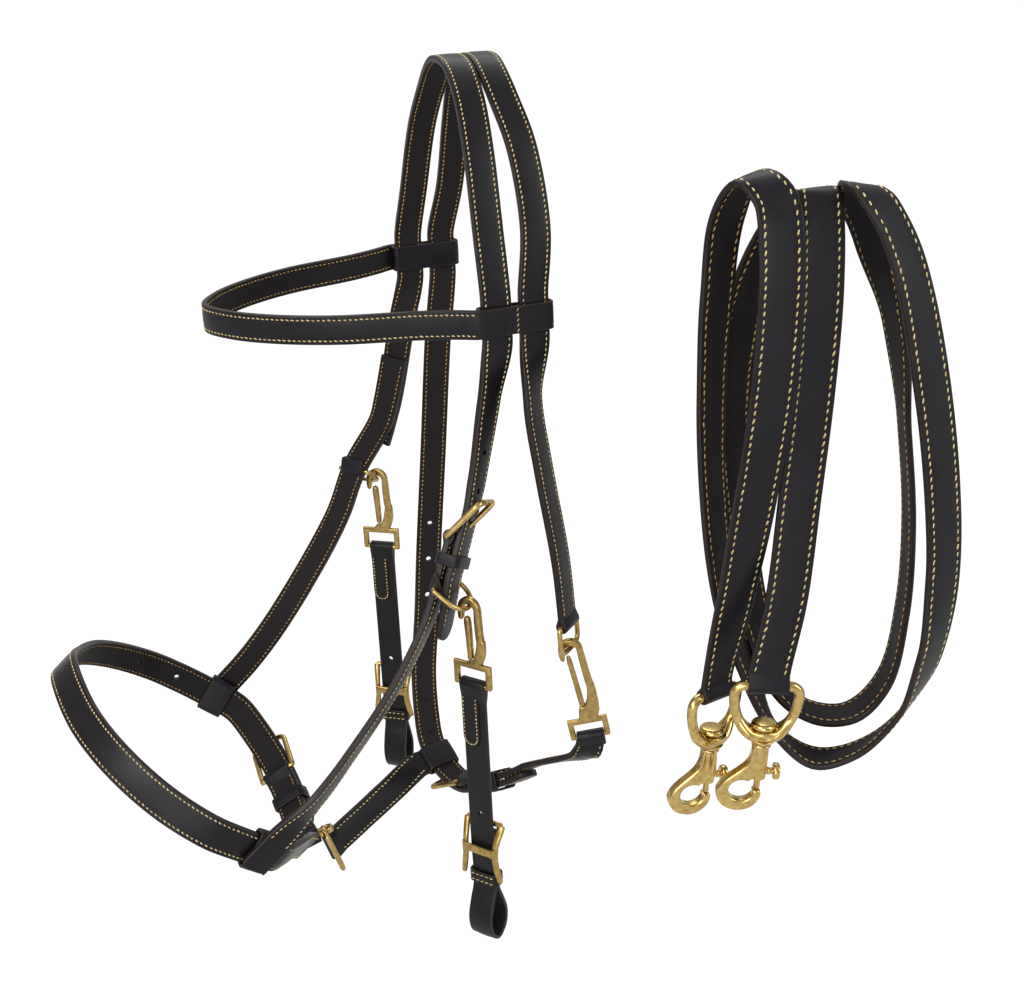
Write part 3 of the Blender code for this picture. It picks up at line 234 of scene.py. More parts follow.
POLISHED = brass("tumbled_and_polished_cast_brass", "a38146", "dcc07e", 0.16, 0.26, 0.05)
ANTIQUE = brass("darkened_cast_brass", "866a38", "c4a668", 0.24, 0.38, 0.08)
RING_BRASS = brass("drawn_brass_wire", "8f7340", "ccae70", 0.20, 0.34, 0.05)
print("metals:", POLISHED.name, ANTIQUE.name, RING_BRASS.name)

# %% [markdown]
# ## Sizes
#
# The sizes are those of the solids: the same straps, wires and clearances, so that each dressed piece
# fits in the space of its node.

# %% Sizes
CROWN_WIDTH, BROW_WIDTH, NOSE_WIDTH, JAW_WIDTH, HANG_WIDTH, REIN_WIDTH = 19.0, 18.0, 22.0, 20.0, 18.0, 25.4
DOUBLE, SINGLE, BROW_THICK, REIN_THICK, WALL, KEEPER_WALL = 4.5, 3.0, 4.0, 3.8, 2.2, 1.6
FIT, SLIDE, LOOP_SLIDE = 0.3, 0.55, 0.8
LAYER = DOUBLE + FIT
BUCKLE_WIRE, BUCKLE_LENGTH, BUCKLE_SIDE, TONGUE_WIRE = 1.6, 30.0, 0.9, 1.1
BIT_RING_WIRE, BIT_RING_DEPTH, RING_WIRE = 1.6, 23.0, 1.7
CHIN_RING_LENGTH, CHIN_RING_SPAN, JAW_RING_SPAN = 31.0, 11.0, 12.0
HOOK_GAP, HOOK_THICK, HOOK_ARCH, EYE_BAR_DROP, EYE_WIDTH = 7.6, 4.0, 5.0, 54.5, 28.0
REIN_RING_WIRE, REIN_RING_WIDTH, REIN_RING_HEIGHT, BOSS_WIDTH = 3.2, 46.0, 41.0, 24.0
SNAP_NECK, SNAP_KNOB, LEFT_TURN, LEFT_SWIVEL = 30.0, 13.0, 38.0, -26.0
HOLE = 1.9
FULLER, RING_FULLER = 0.4, 0.25  # a dressed buckle or chin ring has a little more wire than its solid
ROUND_TIP = 9.0

# %% [markdown]
# ## Routes
#
# A strap is fully described by the line that its middle follows and by the way its outer face looks
# at each point of that line. A few stations fix both, and a centripetal Catmull-Rom curve joins them:
# it passes through every station and doesn't overshoot where they are unevenly spaced.

# %% Routes


def square_to(axis, v):
    """v without its part along the axis, at length 1."""
    return (v - axis * v.dot(axis)).normalized()


def facing(v, x, y, z):
    """v or its opposite, whichever points more this way."""
    return v if v.dot(Vector((x, y, z))) > 0 else -v


def framed(point, t, face):
    """A row of a route: point, direction, outer face and width direction."""
    t = t.normalized()
    n = square_to(t, face)
    return (point, t, n, t.cross(n))


class Route:
    def __init__(self, rows):
        self.rows = rows
        self.s = [0.0]
        for a, b in zip(rows, rows[1:]):
            self.s.append(self.s[-1] + (b[0] - a[0]).length)
        self.length = self.s[-1]

    def at(self, s):
        s = min(max(s, 0.0), self.length)
        i = next((k for k in range(1, len(self.s)) if self.s[k] >= s), len(self.s) - 1)
        f = (s - self.s[i - 1]) / max(self.s[i] - self.s[i - 1], 1e-9)
        a, b = self.rows[i - 1], self.rows[i]
        return framed(a[0].lerp(b[0], f), a[1].lerp(b[1], f), a[2].lerp(b[2], f))

    def near(self, point):
        point = Vector(point)
        return self.s[min(range(len(self.rows)), key=lambda i: (self.rows[i][0] - point).length)]

    def station(self, s, lift):
        """A station for another strap that lies on this one, this far above its middle."""
        p, t, n, w = self.at(s)
        return (*(p + n * lift), tuple(n))

    def part(self, start, end, step=3.0):
        count = max(2, ceil((end - start) / step))
        return Route([self.at(start + (end - start) * k / count) for k in range(count + 1)])

    def raised(self, by, aside=0.0):
        return Route([(p + n * by + w * aside, t, n, w) for p, t, n, w in self.rows])


def smooth(stations, step=3.0):
    """A centripetal curve through (x, y, z, face) stations, with the faces eased from one to the next."""
    points = [Vector(s[:3]) for s in stations]
    faces = [Vector(s[3]).normalized() for s in stations]
    points = [points[0] * 2 - points[1], *points, points[-1] * 2 - points[-2]]
    found = []
    for i in range(1, len(points) - 2):
        p0, p1, p2, p3 = points[i - 1:i + 3]
        t1 = (p1 - p0).length ** 0.5
        t2 = t1 + (p2 - p1).length ** 0.5
        t3 = t2 + (p3 - p2).length ** 0.5
        count = max(2, ceil((p2 - p1).length / step))
        for k in range(count + (i == len(points) - 3)):
            u = k / count
            t = t1 + (t2 - t1) * u
            a1 = p0 * ((t1 - t) / t1) + p1 * (t / t1)
            a2 = p1 * ((t2 - t) / (t2 - t1)) + p2 * ((t - t1) / (t2 - t1))
            a3 = p2 * ((t3 - t) / (t3 - t2)) + p3 * ((t - t2) / (t3 - t2))
            b1 = a1 * ((t2 - t) / t2) + a2 * (t / t2)
            b2 = a2 * ((t3 - t) / (t3 - t1)) + a3 * ((t - t1) / (t3 - t1))
            place = b1 * ((t2 - t) / (t2 - t1)) + b2 * ((t - t1) / (t2 - t1))
            found.append((place, faces[i - 1].lerp(faces[i], u * u * (3 - 2 * u))))
    return Route([framed(place, found[min(i + 1, len(found) - 1)][0] - found[max(i - 1, 0)][0], face)
                  for i, (place, face) in enumerate(found)])


def mirrored(stations):
    return [(x, -y, z, (f[0], -f[1], f[2])) for x, y, z, f in stations]


def out(angle):
    """The outer face on the near side, turned toward the tail by this many degrees."""
    return (sin(radians(angle)), -cos(radians(angle)), 0)


# %% [markdown]
# ## Sweeping a section along a route
#
# Straps and bent wires are both a section carried along a line. The section starts as a ring of
# vertices. bmesh's extrude_edge_only copies the ring's edges and joins them to the old ones with
# faces, and the new vertices are then moved to the next row. An open sweep is capped at both ends,
# and a ring is closed with bridge_loops.

# %% Sweep


def sweep(rows, section, closed=False, shares=None, depths=None):
    """A bmesh of the section, a list of (across, height), carried along the rows and scaled by the shares."""
    bm = bmesh.new()
    lay = bm.verts.layers.float_vector.new("lay")
    travelled = [0.0]
    for a, b in zip(rows, rows[1:]):
        travelled.append(travelled[-1] + (b[0] - a[0]).length)

    def put(vert, k, x, y):
        p, t, n, w = rows[k]
        share = shares[k] if shares else 1.0
        depth = depths[k] if depths else 1.0
        vert.co = (p + w * x * share + n * y * depth) * MM
        vert[lay] = (travelled[k] * MM, x * share * MM, y * depth * MM)

    ring = [bm.verts.new() for _ in section]
    for vert, (x, y) in zip(ring, section):
        put(vert, 0, x, y)
    edges = [bm.edges.new((a, b)) for a, b in zip(ring, ring[1:] + ring[:1])]
    first = list(edges)
    if not closed:
        bmesh.ops.contextual_create(bm, geom=edges)
    for k in range(1, len(rows)):
        made = bmesh.ops.extrude_edge_only(bm, edges=edges)["geom"]
        fresh = {g for g in made if isinstance(g, bmesh.types.BMVert)}
        ring = [next(e.other_vert(v) for e in v.link_edges if e.other_vert(v) in fresh) for v in ring]
        for vert, (x, y) in zip(ring, section):
            put(vert, k, x, y)
        edges = [bm.edges.get((a, b)) for a, b in zip(ring, ring[1:] + ring[:1])]
    if closed:
        bmesh.ops.bridge_loops(bm, edges=edges + first)
    else:
        bmesh.ops.contextual_create(bm, geom=edges)
    bmesh.ops.recalc_face_normals(bm, faces=bm.faces)
    return bm


def mesh_of(name, bm):
    """A mesh of this bmesh, which is then freed."""
    mesh = bpy.data.meshes.new(name)
    bm.to_mesh(mesh)
    bm.free()
    return mesh


def piece(name, bm, finishes, body, stands_for=()):
    """The finished piece: its mesh, its materials, the body it rides on and the nodes that it replaces."""
    mesh = mesh_of(name, bm)
    for finish in finishes:
        mesh.materials.append(finish)
    mesh.shade_smooth()
    mesh.set_sharp_from_angle(angle=radians(50))
    obj = linked(name, mesh)
    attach(obj, body)
    if stands_for:
        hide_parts(*stands_for)
    return obj


# %% [markdown]
# ## The section of a strap
#
# A strap of this bridle is two layers of leather, sewn and then edged: its arrises are rounded and the
# edge is dyed, waxed and rubbed until it is slightly domed. The face is a little fuller between the
# rows of stitches than over them, which is what gives a strap its two long soft highlights.

# %% Straps


def strap_section(width, thick, edge=1.1, crown=0.22, corner_steps=3):
    half, top = width / 2, thick / 2
    seam = half - 2.6
    faces = [-half + edge, -seam, -seam + 1.0, -seam * 0.4, 0, seam * 0.4, seam - 1.0, seam, half - edge]
    lift = [0, -0.12, 0.02, crown, crown, crown, 0.02, -0.12, 0]
    found = [(x, top + h - crown) for x, h in zip(faces, lift)]
    for k in range(1, corner_steps + 1):
        a = pi / 2 - pi / 2 * k / (corner_steps + 1)
        found.append((half - edge + edge * cos(a), top - crown - edge + edge * sin(a)))
    for k in range(0, corner_steps + 1):
        a = -pi / 2 * k / (corner_steps + 1)
        found.append((half - edge + edge * cos(a), -top + edge + edge * sin(a)))
    back = [(x, -top) for x in (half - edge, seam * 0.4, -seam * 0.4, -half + edge)]
    return found + back + [(-x, y) for x, y in reversed(found[len(faces):])]


def strap_finish(bm, width, thick):
    """Gives each face the material of the grain side, the edge or the flesh side, by where it lies."""
    lay = bm.verts.layers.float_vector["lay"]
    for face in bm.faces:
        places = [v[lay] for v in face.verts]
        side = sum(abs(q[1]) for q in places) / len(places) / MM
        height = sum(q[2] for q in places) / len(places) / MM
        run = max(q[0] for q in places) - min(q[0] for q in places)
        if len(face.verts) > 4 or run < 1e-7 or side > width / 2 - 0.75:
            face.material_index = 1
        elif height < -thick * 0.3:
            face.material_index = 2


def strap(name, route, width=CROWN_WIDTH, thick=DOUBLE, body="headstall", tip=0, tail=0, grain=GRAIN_19, step=3.0):
    """A strap in place of the node of this name. tip and tail are the lengths of a rounded end and start."""
    count = max(2, ceil(route.length / step))
    stops = [route.length * k / count for k in range(count + 1)]
    if tip:
        stops = [s for s in stops if s < route.length - tip] + [route.length - tip * (1 - k / 5) for k in range(6)]
    if tail:
        stops = [tail * k / 5 for k in range(6)] + [s for s in stops if s > tail]
    shares = []
    for s in stops:
        share = 1.0
        if tip and s > route.length - tip:
            share = sqrt(max(1 - ((s - route.length + tip) / tip) ** 2 * 0.86, 0.05))
        if tail and s < tail:
            share = sqrt(max(1 - ((tail - s) / tail) ** 2 * 0.86, 0.05))
        shares.append(share)
    bm = sweep([route.at(s) for s in stops], strap_section(width, thick), shares=shares)
    strap_finish(bm, width, thick)
    return piece("dressed_" + name, bm, [grain, EDGE_DYE, FLESH], body, [name])


# %% [markdown]
# ## Stitches
#
# A saddler sews with an awl and two needles. On the grain side the stitches lean a little, about 8 to
# the inch on the headstall and 5 to the inch on the reins. Each stitch here is a small ico sphere
# drawn out along the row, half sunk in the leather. There are thousands of them, so each has only 20
# faces, and a strap's stitches are one piece. They are made in clusters, because an operator takes
# longer on a large bmesh than on a small one.

# %% Stitching
HEAD_PITCH, HEAD_THREAD = 3.2, 0.5
REIN_PITCH, REIN_THREAD = 4.9, 0.62
CLUSTER = 60


def add_mesh(bm, other):
    """Adds another bmesh to bm and frees it."""
    mesh = mesh_of("part", other)
    bm.from_mesh(mesh)
    bpy.data.meshes.remove(mesh)


def add_stitch(bm, spot, along, normal, length, radius):
    side = normal.cross(along).normalized()
    turn = Matrix((along * length / 2, side * radius, normal * radius)).transposed().to_4x4() * MM
    turn[3][3] = 1
    turn.translation = spot * MM
    bmesh.ops.create_icosphere(bm, subdivisions=1, radius=1, matrix=turn)


def sew_row(bm, route, across, face, height, start, end, pitch, radius, seed=0.0, ragged=0.0):
    """A row of stitches on one face of a strap; face is 1 for the grain side and -1 for the flesh side."""
    count = int((end - start) / pitch)
    cluster = bmesh.new()
    for k in range(count):
        if k % CLUSTER == CLUSTER - 1:
            add_mesh(bm, cluster)
            cluster = bmesh.new()
        s = start + (k + 0.5) * (end - start) / count
        p, t, n, w = route.at(s)
        chance = noise.noise(Vector((s * 0.37, across * 1.7 + seed, face * 3.1)))
        a = radians(12 * face + chance * (10 + 30 * ragged))
        along = t * cos(a) + w * sin(a)
        spot = p + w * (across + chance * (0.15 + ragged)) + n * face * height
        add_stitch(cluster, spot, along, n * face, pitch * (0.76 + 0.2 * chance), radius * (1 + 0.25 * chance))
    add_mesh(bm, cluster)


def sew(name, route, start, short, width=CROWN_WIDTH, thick=DOUBLE, body="headstall", inset=2.6, pitch=HEAD_PITCH,
        radius=HEAD_THREAD, ragged=0.15):
    """Both rows of a strap, on both faces. The rows stop short of the strap's end by this much."""
    end = route.length - short
    front_mesh, back_mesh = bmesh.new(), bmesh.new()
    for side in (-1, 1):
        across = side * (width / 2 - inset)
        sew_row(front_mesh, route, across, 1, thick / 2 - 0.32, start, end, pitch, radius, side)
        sew_row(back_mesh, route, across, -1, thick / 2 - 0.02, start, end, pitch, radius * 0.9, side + 5, ragged)
    piece(name + "_stitches", front_mesh, [THREAD], body)
    piece(name + "_back_stitches", back_mesh, [THREAD_BACK], body)


def punch(obj, route, places, thick=DOUBLE):
    """Round holes through a strap, cut with a Boolean."""
    cutter = bmesh.new()
    for s in places:
        p, t, n, w = route.at(s)
        turn = Matrix((w, t, n)).transposed().to_4x4()
        turn.translation = p * MM
        bmesh.ops.create_cone(cutter, cap_ends=True, segments=20, radius1=HOLE * MM, radius2=HOLE * MM,
                              depth=thick * 3 * MM, matrix=turn)
    holes = linked(obj.name + "_holes", mesh_of(obj.name + "_holes", cutter))
    modifier = obj.modifiers.new("holes", "BOOLEAN")
    modifier.operation = "DIFFERENCE"
    modifier.object = holes
    modifier.solver = "EXACT"
    bpy.context.view_layer.update()
    graph = bpy.context.evaluated_depsgraph_get()
    cut_mesh = bpy.data.meshes.new_from_object(obj.evaluated_get(graph))
    obj.modifiers.remove(modifier)
    obj.data = cut_mesh
    bpy.data.objects.remove(holes)


# %% [markdown]
# ## Bent wire and cast plate
#
# Rings, buckle frames and tongues are bent from brass wire, so they are sweeps with a round section.
# Hooks and snaps are cast: a flat outline is extruded to its thickness and then its rims are rounded
# with bevel, which is how a pattern maker would draft it too.

# %% Metal shapes


def arc(rx, ry, start, end, steps, x=0.0, y=0.0):
    """Points on an ellipse with its middle at x and y, from one angle to another in radians."""
    angles = [start + (end - start) * k / steps for k in range(steps + 1)]
    return [(x + rx * cos(a), y + ry * sin(a)) for a in angles]


def circle(radius, steps):
    return arc(radius, radius, 0, 2 * pi, steps)[:-1]


def rows_through(points, normal, closed=False):
    """The rows of a line through these points that lies in the plane of this normal."""
    rows = []
    last = len(points) - 1
    for i, point in enumerate(points):
        before = points[i - 1] if closed or i else points[0]
        after = points[(i + 1) % len(points)] if closed or i < last else points[last]
        rows.append(framed(point, after - before, normal))
    return rows


def ring_points(centre, x, y, width, height, corner, far_corner=None, steps=10):
    found = []
    for k, (sx, sy) in enumerate(((1, 1), (-1, 1), (-1, -1), (1, -1))):
        r = far_corner if far_corner and sy > 0 else corner
        for j in range(steps + 1):
            a = pi / 2 * (k + j / steps)
            found.append(centre + x * (sx * (width / 2 - r) + r * cos(a)) + y * (sy * (height / 2 - r) + r * sin(a)))
    return found


def spaced(points, closed=True, gap=1.5):
    """The same line with extra points on its long straight runs."""
    found = []
    pairs = zip(points, points[1:] + points[:1]) if closed else zip(points, points[1:])
    for a, b in pairs:
        count = max(1, ceil((b - a).length / gap))
        found += [a.lerp(b, k / count) for k in range(count)]
    return found if closed else found + [points[-1]]


def brass_piece(name, bm, finish, body):
    """A piece of brass in place of the node of this name."""
    piece("dressed_" + name, bm, [finish], body, [name])


def wire(name, points, normal, radius, body="headstall", closed=True):
    """Round wire through the points. normal is the normal of the plane in which it is bent."""
    rows = rows_through(spaced(points, closed), normal, closed)
    brass_piece(name, sweep(rows, circle(radius, 20), closed), RING_BRASS, body)


def softened(outline):
    """Every corner cut (Chaikin), which turns a few chosen points into a flowing outline."""
    points = [Vector((x, y)) for x, y in outline]
    return [q for a, b in zip(points, points[1:] + points[:1]) for q in (a.lerp(b, 0.25), a.lerp(b, 0.75))]


def round_rims(bm, offset, segments, clamp=False):
    """Rounds the edges of the faces with more than four sides, which are the flat ends of a shape."""
    rims = [e for e in bm.edges if any(len(f.verts) > 4 for f in e.link_faces)]
    bmesh.ops.bevel(bm, geom=rims, offset=offset * MM, segments=segments, profile=0.5, affect="EDGES", material=-1,
                    clamp_overlap=clamp)


def plate(outline, thick, matrix, soften, segments=3):
    """A bmesh of a flat outline extruded along local Z and rounded along its rims."""
    bm = bmesh.new()
    bm.verts.layers.float_vector.new("lay")
    verts = [bm.verts.new((x * MM, y * MM, -thick / 2 * MM)) for x, y in outline]
    base = bm.faces.new(verts)
    made = bmesh.ops.extrude_face_region(bm, geom=[base])["geom"]
    top = [g for g in made if isinstance(g, bmesh.types.BMVert)]
    bmesh.ops.translate(bm, verts=top, vec=(0, 0, thick * MM))
    bmesh.ops.recalc_face_normals(bm, faces=bm.faces)
    round_rims(bm, soften, segments, True)
    placed = matrix.copy()
    placed.translation = matrix.translation * MM
    bmesh.ops.transform(bm, matrix=placed, verts=bm.verts)
    return bm


def axes(origin, x, y, z):
    m = Matrix((x, y, z)).transposed().to_4x4()
    m.translation = origin
    return m


def add_rod(bm, start, end, radius, segments=28, soften=0.0, end_radius=None):
    """A round rod added to a bmesh, with rounded rims if soften is given."""
    start, end = Vector(start), Vector(end)
    turn = (end - start).to_track_quat("Z", "Y").to_matrix().to_4x4()
    turn.translation = (start + end) / 2 * MM
    own = bmesh.new()
    bmesh.ops.create_cone(own, cap_ends=True, segments=segments, radius1=radius * MM,
                          radius2=(radius if end_radius is None else end_radius) * MM,
                          depth=(end - start).length * MM, matrix=turn)
    if soften:
        round_rims(own, soften, 4)
    add_mesh(bm, own)


# %% [markdown]
# ## Folded ends and loops
#
# Where a strap takes a bar, it is folded round it and sewn down. The fold is a drop in section: round
# under the bar and drawn in to the strap above it. Its two ends show the dyed edge. A keeper and the
# loops that carry another strap are bands of leather: a narrow strap section swept round a rounded
# rectangle.

# %% Folds and bands


def fold(name, centre, axis, bar_radius, up=UP, width=CROWN_WIDTH, grain=GRAIN_19, body="headstall", thick=DOUBLE,
         reach=1.9, wall=WALL):
    """A strap's end round a bar: round below, and above it drawn in to the strap's thickness."""
    radius = bar_radius + FIT + wall
    axis = axis.normalized()
    up = square_to(axis, up)
    shoulder = radians(18)
    outline = arc(radius, radius, -pi - shoulder, shoulder, 20)
    outline += [(thick / 2 + 0.3, radius * reach * 0.65), (thick / 2 - 0.75, radius * reach),
                (-thick / 2 + 0.75, radius * reach), (-thick / 2 - 0.3, radius * reach * 0.65)]
    bm = plate(outline, width - 0.4, axes(centre, axis.cross(up), up, -axis), 0.8, 3)
    for face in bm.faces:
        face.material_index = int(abs(face.normal.dot(axis)) > 0.5)
    piece(name, bm, [grain, EDGE_DYE], body)


def round_path(width, height, corner, x, y, centre, steps=6):
    """The rows of a rounded rectangle in the plane of x and y, faces outward."""
    rows = []
    along = x.cross(y)
    for k, (sx, sy) in enumerate(((1, 1), (-1, 1), (-1, -1), (1, -1))):
        for j in range(steps + 1):
            a = pi / 2 * (k + j / steps)
            face = x * cos(a) + y * sin(a)
            p = centre + x * (sx * (width / 2 - corner)) + y * (sy * (height / 2 - corner)) + face * corner
            rows.append((p, along.cross(face), face, along))
    return rows


def band(name, row, width, thick, length, lift=0.0, slide=SLIDE, wall=WALL, body="headstall", grain=GRAIN_19,
         stands_for=()):
    """A loop of leather round straps that together measure width by thick."""
    p, t, n, w = row
    corner = min(2.9, (thick + 2 * slide + wall) / 2 - 0.2)
    rows = round_path(width + 2 * slide + wall, thick + 2 * slide + wall, corner, w, n, p + n * lift)
    section = strap_section(length, wall, edge=min(0.9, wall * 0.42), crown=0.05, corner_steps=3)
    bm = sweep(rows, section, closed=True)
    strap_finish(bm, length, wall)
    piece(name, bm, [grain, EDGE_DYE, FLESH], body, stands_for)


def keeper(name, row, width, thick, lift, length=9.0, body="headstall", grain=GRAIN_19):
    """A thinner loop in place of the node of this name."""
    band("dressed_" + name, row, width, thick, length, lift, SLIDE, KEEPER_WALL, body, grain, [name])


# %% [markdown]
# ## Buckles
#
# A bridle buckle is a frame of round brass on a straight bar, with a tongue bent round the bar that
# rests on the far side of the frame.

# %% Buckles


def buckle(name, bar, along, face, lift, strap_way, width=CROWN_WIDTH, grain=GRAIN_19, reach=1.9):
    """A frame, its tongue and the fold of the strap round its bar. strap_way is where that strap runs."""
    along = Vector(along).normalized()
    n = square_to(along, Vector(face))
    w = along.cross(n)
    d = along * cos(radians(lift)) + n * sin(radians(lift))
    up = n * cos(radians(lift)) - along * sin(radians(lift))
    half = width / 2 + BUCKLE_SIDE + BUCKLE_WIRE
    r = 5.0
    points = [bar - w * half, bar + w * half]
    for side, start in ((1, 0), (-1, 90)):
        for k in range(9):
            a = radians(start + 90 * k / 8)
            points.append(bar + w * side * (half - r) + d * (BUCKLE_LENGTH - r) + (w * cos(a) + d * sin(a)) * r)
    wire(name, points, up, BUCKLE_WIRE + FULLER)
    clear = BUCKLE_WIRE + FIT + TONGUE_WIRE
    bend = [bar + (d * sin(a) + up * cos(a)) * clear for a in [radians(-300 + 20 * k) for k in range(16)]]
    tail = [bar + up * (clear + 0.1) + d * q for q in (2.5, 8, 14, 20, 26, BUCKLE_LENGTH + BUCKLE_WIRE + 1.5)]
    wire(name + "_tongue", bend + tail, w, TONGUE_WIRE, name.replace("_buckle", "_tongue"), False)
    fold(name + "_fold", bar, w, BUCKLE_WIRE, strap_way, width, grain, reach=reach)


# %% [markdown]
# ## The crown
#
# Two straps lie side by side over the poll. On the near side they part a little on the way down. The
# front one carries both cheeks: its near end is a pointed billet with holes. The rear one is the
# throat latch, and its far side runs down and under the jaw to another billet.

# %% Crown straps
FRONT_X, REAR_X = -CROWN_WIDTH / 2 - 0.25, CROWN_WIDTH / 2 + 0.25
POCKET_Y, POCKET_Z, POCKET_FRONT, POCKET_REAR = 93.5, -141.5, -18.0, 6.0


def over_poll(x, low, spread=0):
    """From the poll down into the browband's pocket, parted by this much more."""
    away = -1 if x < 0 else 1
    return [
        (x, -5, DOUBLE / 2, UP),
        (x, -13, 0.9, (0, -0.2, 0.98)),
        (x, -24, -4.6, (0, -0.5, 0.87)),
        (x + away * spread * 0.5, -41, -19, (0, -0.78, 0.62)),
        (x + away * (2 + spread), -62, -46, (0, -0.9, 0.43)),
        (x + away * spread + (-5 if x < 0 else 1.5), -82, -92, (0, -0.96, 0.25)),
        *[(low, -POCKET_Y, z, (0, -1, 0)) for z in (-127, -134, -149, -156)],
    ]


BUCKLE_BAR = Vector((-55, -101.5, -272))
RING_BAR = Vector((-67, -108, -299))
RING_FACE = Vector((0.76, -0.65, 0))
BILLET_LIFT = BUCKLE_WIRE + FIT + WALL + FIT + DOUBLE / 2 + 0.4
near_cheek = [
    (*BUCKLE_BAR, out(50)),
    (-61, -105, -286, RING_FACE),
    (*RING_BAR, RING_FACE),
    (-79, -112.5, -323, (0.64, -0.63, -0.43)),
    (-104, -117, -361, (0.6, -0.63, -0.5)),
    (-136, -118, -401, (0.58, -0.66, -0.48)),
    (-160, -119, -427, (0.53, -0.73, -0.42)),
]
cheek_top = smooth(near_cheek)
ring_s = cheek_top.near(RING_BAR)
ring_billet = Vector(cheek_top.station(ring_s, BILLET_LIFT)[:3])
front_near = over_poll(FRONT_X, POCKET_FRONT, 2) + [
    (-26, -96, -190, out(31)),
    (-37, -99.5, -237, out(43)),
    (-43.5, -103, -257, out(50)),
    *[cheek_top.station(ring_s * share, BILLET_LIFT) for share in (0, 0.45, 0.9)],
    (*(ring_billet + Vector((-1.6, 0.2, -10))), RING_FACE),
    (-70, -113, -335, RING_FACE),
]
front_far = over_poll(FRONT_X, POCKET_FRONT) + [
    (-26, -96, -190, out(31)),
    (-37, -97, -239, out(43)),
    (-43, -99, -261, out(50)),
    (-48, -101, -277, out(50)),
]
front_route = smooth(front_near[::-1] + mirrored(front_far))
crown_front = strap("crown_front_strap", front_route, tail=ROUND_TIP)
punch(crown_front, front_route, [front_route.near(p) for p in ((-39.6, -100.8, -245.6), (-33.4, -98.2, -222.5))])
sew("crown_front", front_route, 10, 2)

rear_near = over_poll(REAR_X, POCKET_REAR, 2) + [
    (2, -97, -194, out(42)),
    (6, -101.5, -240, out(42)),
    (13, -107, -300, out(42)),
    (16, -108, -344, out(42)),
]
rear_far = over_poll(REAR_X, POCKET_REAR) + [
    (0, -96, -206, out(18)),
    (-7, -102, -291, out(16)),
    (-16, -101, -371, out(12)),
    (-23, -93, -418, (0.1, -1, -0.2)),
    (-33, -77, -462, (0, -0.85, -0.5)),
    (-39, -54, -487, (0, -0.6, -0.8)),
    (-41, -39, -498, (0, -0.5, -0.86)),
    (-39, -24, -506.5, (0, -0.45, -0.9)),
    (-34, -9, -512.5, (0, -0.3, -0.95)),
    (-28, 5, -514.5, (0, 0.05, -1)),
    (-19, 20, -509, (0, 0.4, -0.9)),
    (-5, 37, -499, (0, 0.55, -0.83)),
    (9, 49, -488, (0, 0.62, -0.78)),
]
rear_route = smooth(rear_near[::-1] + mirrored(rear_far))
crown_rear = strap("crown_rear_strap", rear_route, tip=ROUND_TIP)
THROUGH_HOLES = 4
far_holes = ((-13, 102, -349), (-17, 100, -377), (-21, 96, -404), (-25, 91, -427), (-33, 76, -463), (-37, 63, -479),
             (-41, 44, -495))
punch(crown_rear, rear_route, [rear_route.near(p) for p in far_holes])
blind = bmesh.new()
for place in far_holes[THROUGH_HOLES:]:
    p, t, n, w = rear_route.at(rear_route.near(place))
    add_rod(blind, p - n * 0.8, p + n * 0.8, HOLE + 0.2, 20)
piece("crown_rear_blind_holes", blind, [EDGE_DYE], "headstall")
sew("crown_rear", rear_route, 8, 10)
print("crown straps:", round(front_route.length), "and", round(rear_route.length), "mm long")

# %% [markdown]
# ## Browband
#
# The browband keeps the crown from sliding back. Each end is a double loop round both crown straps,
# sewn across between them.

# %% Browband
end_out = POCKET_Y + DOUBLE / 2 + SLIDE + BROW_THICK / 2 + 0.06
brow_near = [
    (-16, -end_out, POCKET_Z, (0, -1, 0)),
    (-23, -end_out, POCKET_Z, (0, -1, 0)),
    (-30.5, -end_out + 0.2, POCKET_Z, (0, -1, 0)),
    (-42, -91.5, POCKET_Z, (-0.5, -1, 0)),
    (-63, -82, POCKET_Z, (-0.4, -1, 0)),
    (-109, -68, POCKET_Z, (-0.5, -1, 0)),
    (-143, -48, POCKET_Z, (-0.8, -0.8, 0)),
    (-166, -25, POCKET_Z, (-1, -0.5, 0)),
    (-177, 0, POCKET_Z, (-1, 0, 0)),
]
brow_route = smooth(brow_near + mirrored(brow_near)[-2::-1])
strap("browband", brow_route, BROW_WIDTH, BROW_THICK)
sew("browband", brow_route, 16, 16, BROW_WIDTH, BROW_THICK)
POCKET_LENGTH = POCKET_REAR - POCKET_FRONT + CROWN_WIDTH
for side, label in ((-1, "near"), (1, "far")):
    middle = Vector(((POCKET_FRONT + POCKET_REAR) / 2, side * POCKET_Y, POCKET_Z))
    row = (middle, UP, Vector((0, side, 0)), UP.cross(Vector((0, side, 0))))
    band(f"browband_pocket_{label}", row, POCKET_LENGTH, DOUBLE, BROW_WIDTH - 0.6)
    cross = bmesh.new()
    for k in range(5):
        spot = middle + Vector((0, side * (DOUBLE / 2 + SLIDE + WALL - 0.05), -6.4 + 3.2 * k))
        add_stitch(cross, spot, Vector((0.5, 0, 0.87)), Vector((0, side, 0)), 2.6, 0.42)
    piece(f"browband_cross_stitches_{label}", cross, [THREAD], "headstall")
print("browband:", round(brow_route.length), "mm")

# %% [markdown]
# ## Noseband
#
# The noseband goes once round the muzzle. It starts at the chin ring, passes the front of the nose
# and comes back on the far side as a billet through a buckle. The short piece between the buckle and
# the chin ring is called a chape. The strap stands square to its own run, so its faces are worked out
# from one common width direction.

# %% Noseband


def behind_billet(route, bar_s, aheads, gap):
    """Stations along the back of a billet, from the buckle's bar to the billet's end."""
    found = [route.station(bar_s, -BILLET_LIFT)]
    return found + [route.station(bar_s + ahead, -LAYER - gap) for ahead in (*aheads, route.length - bar_s)]


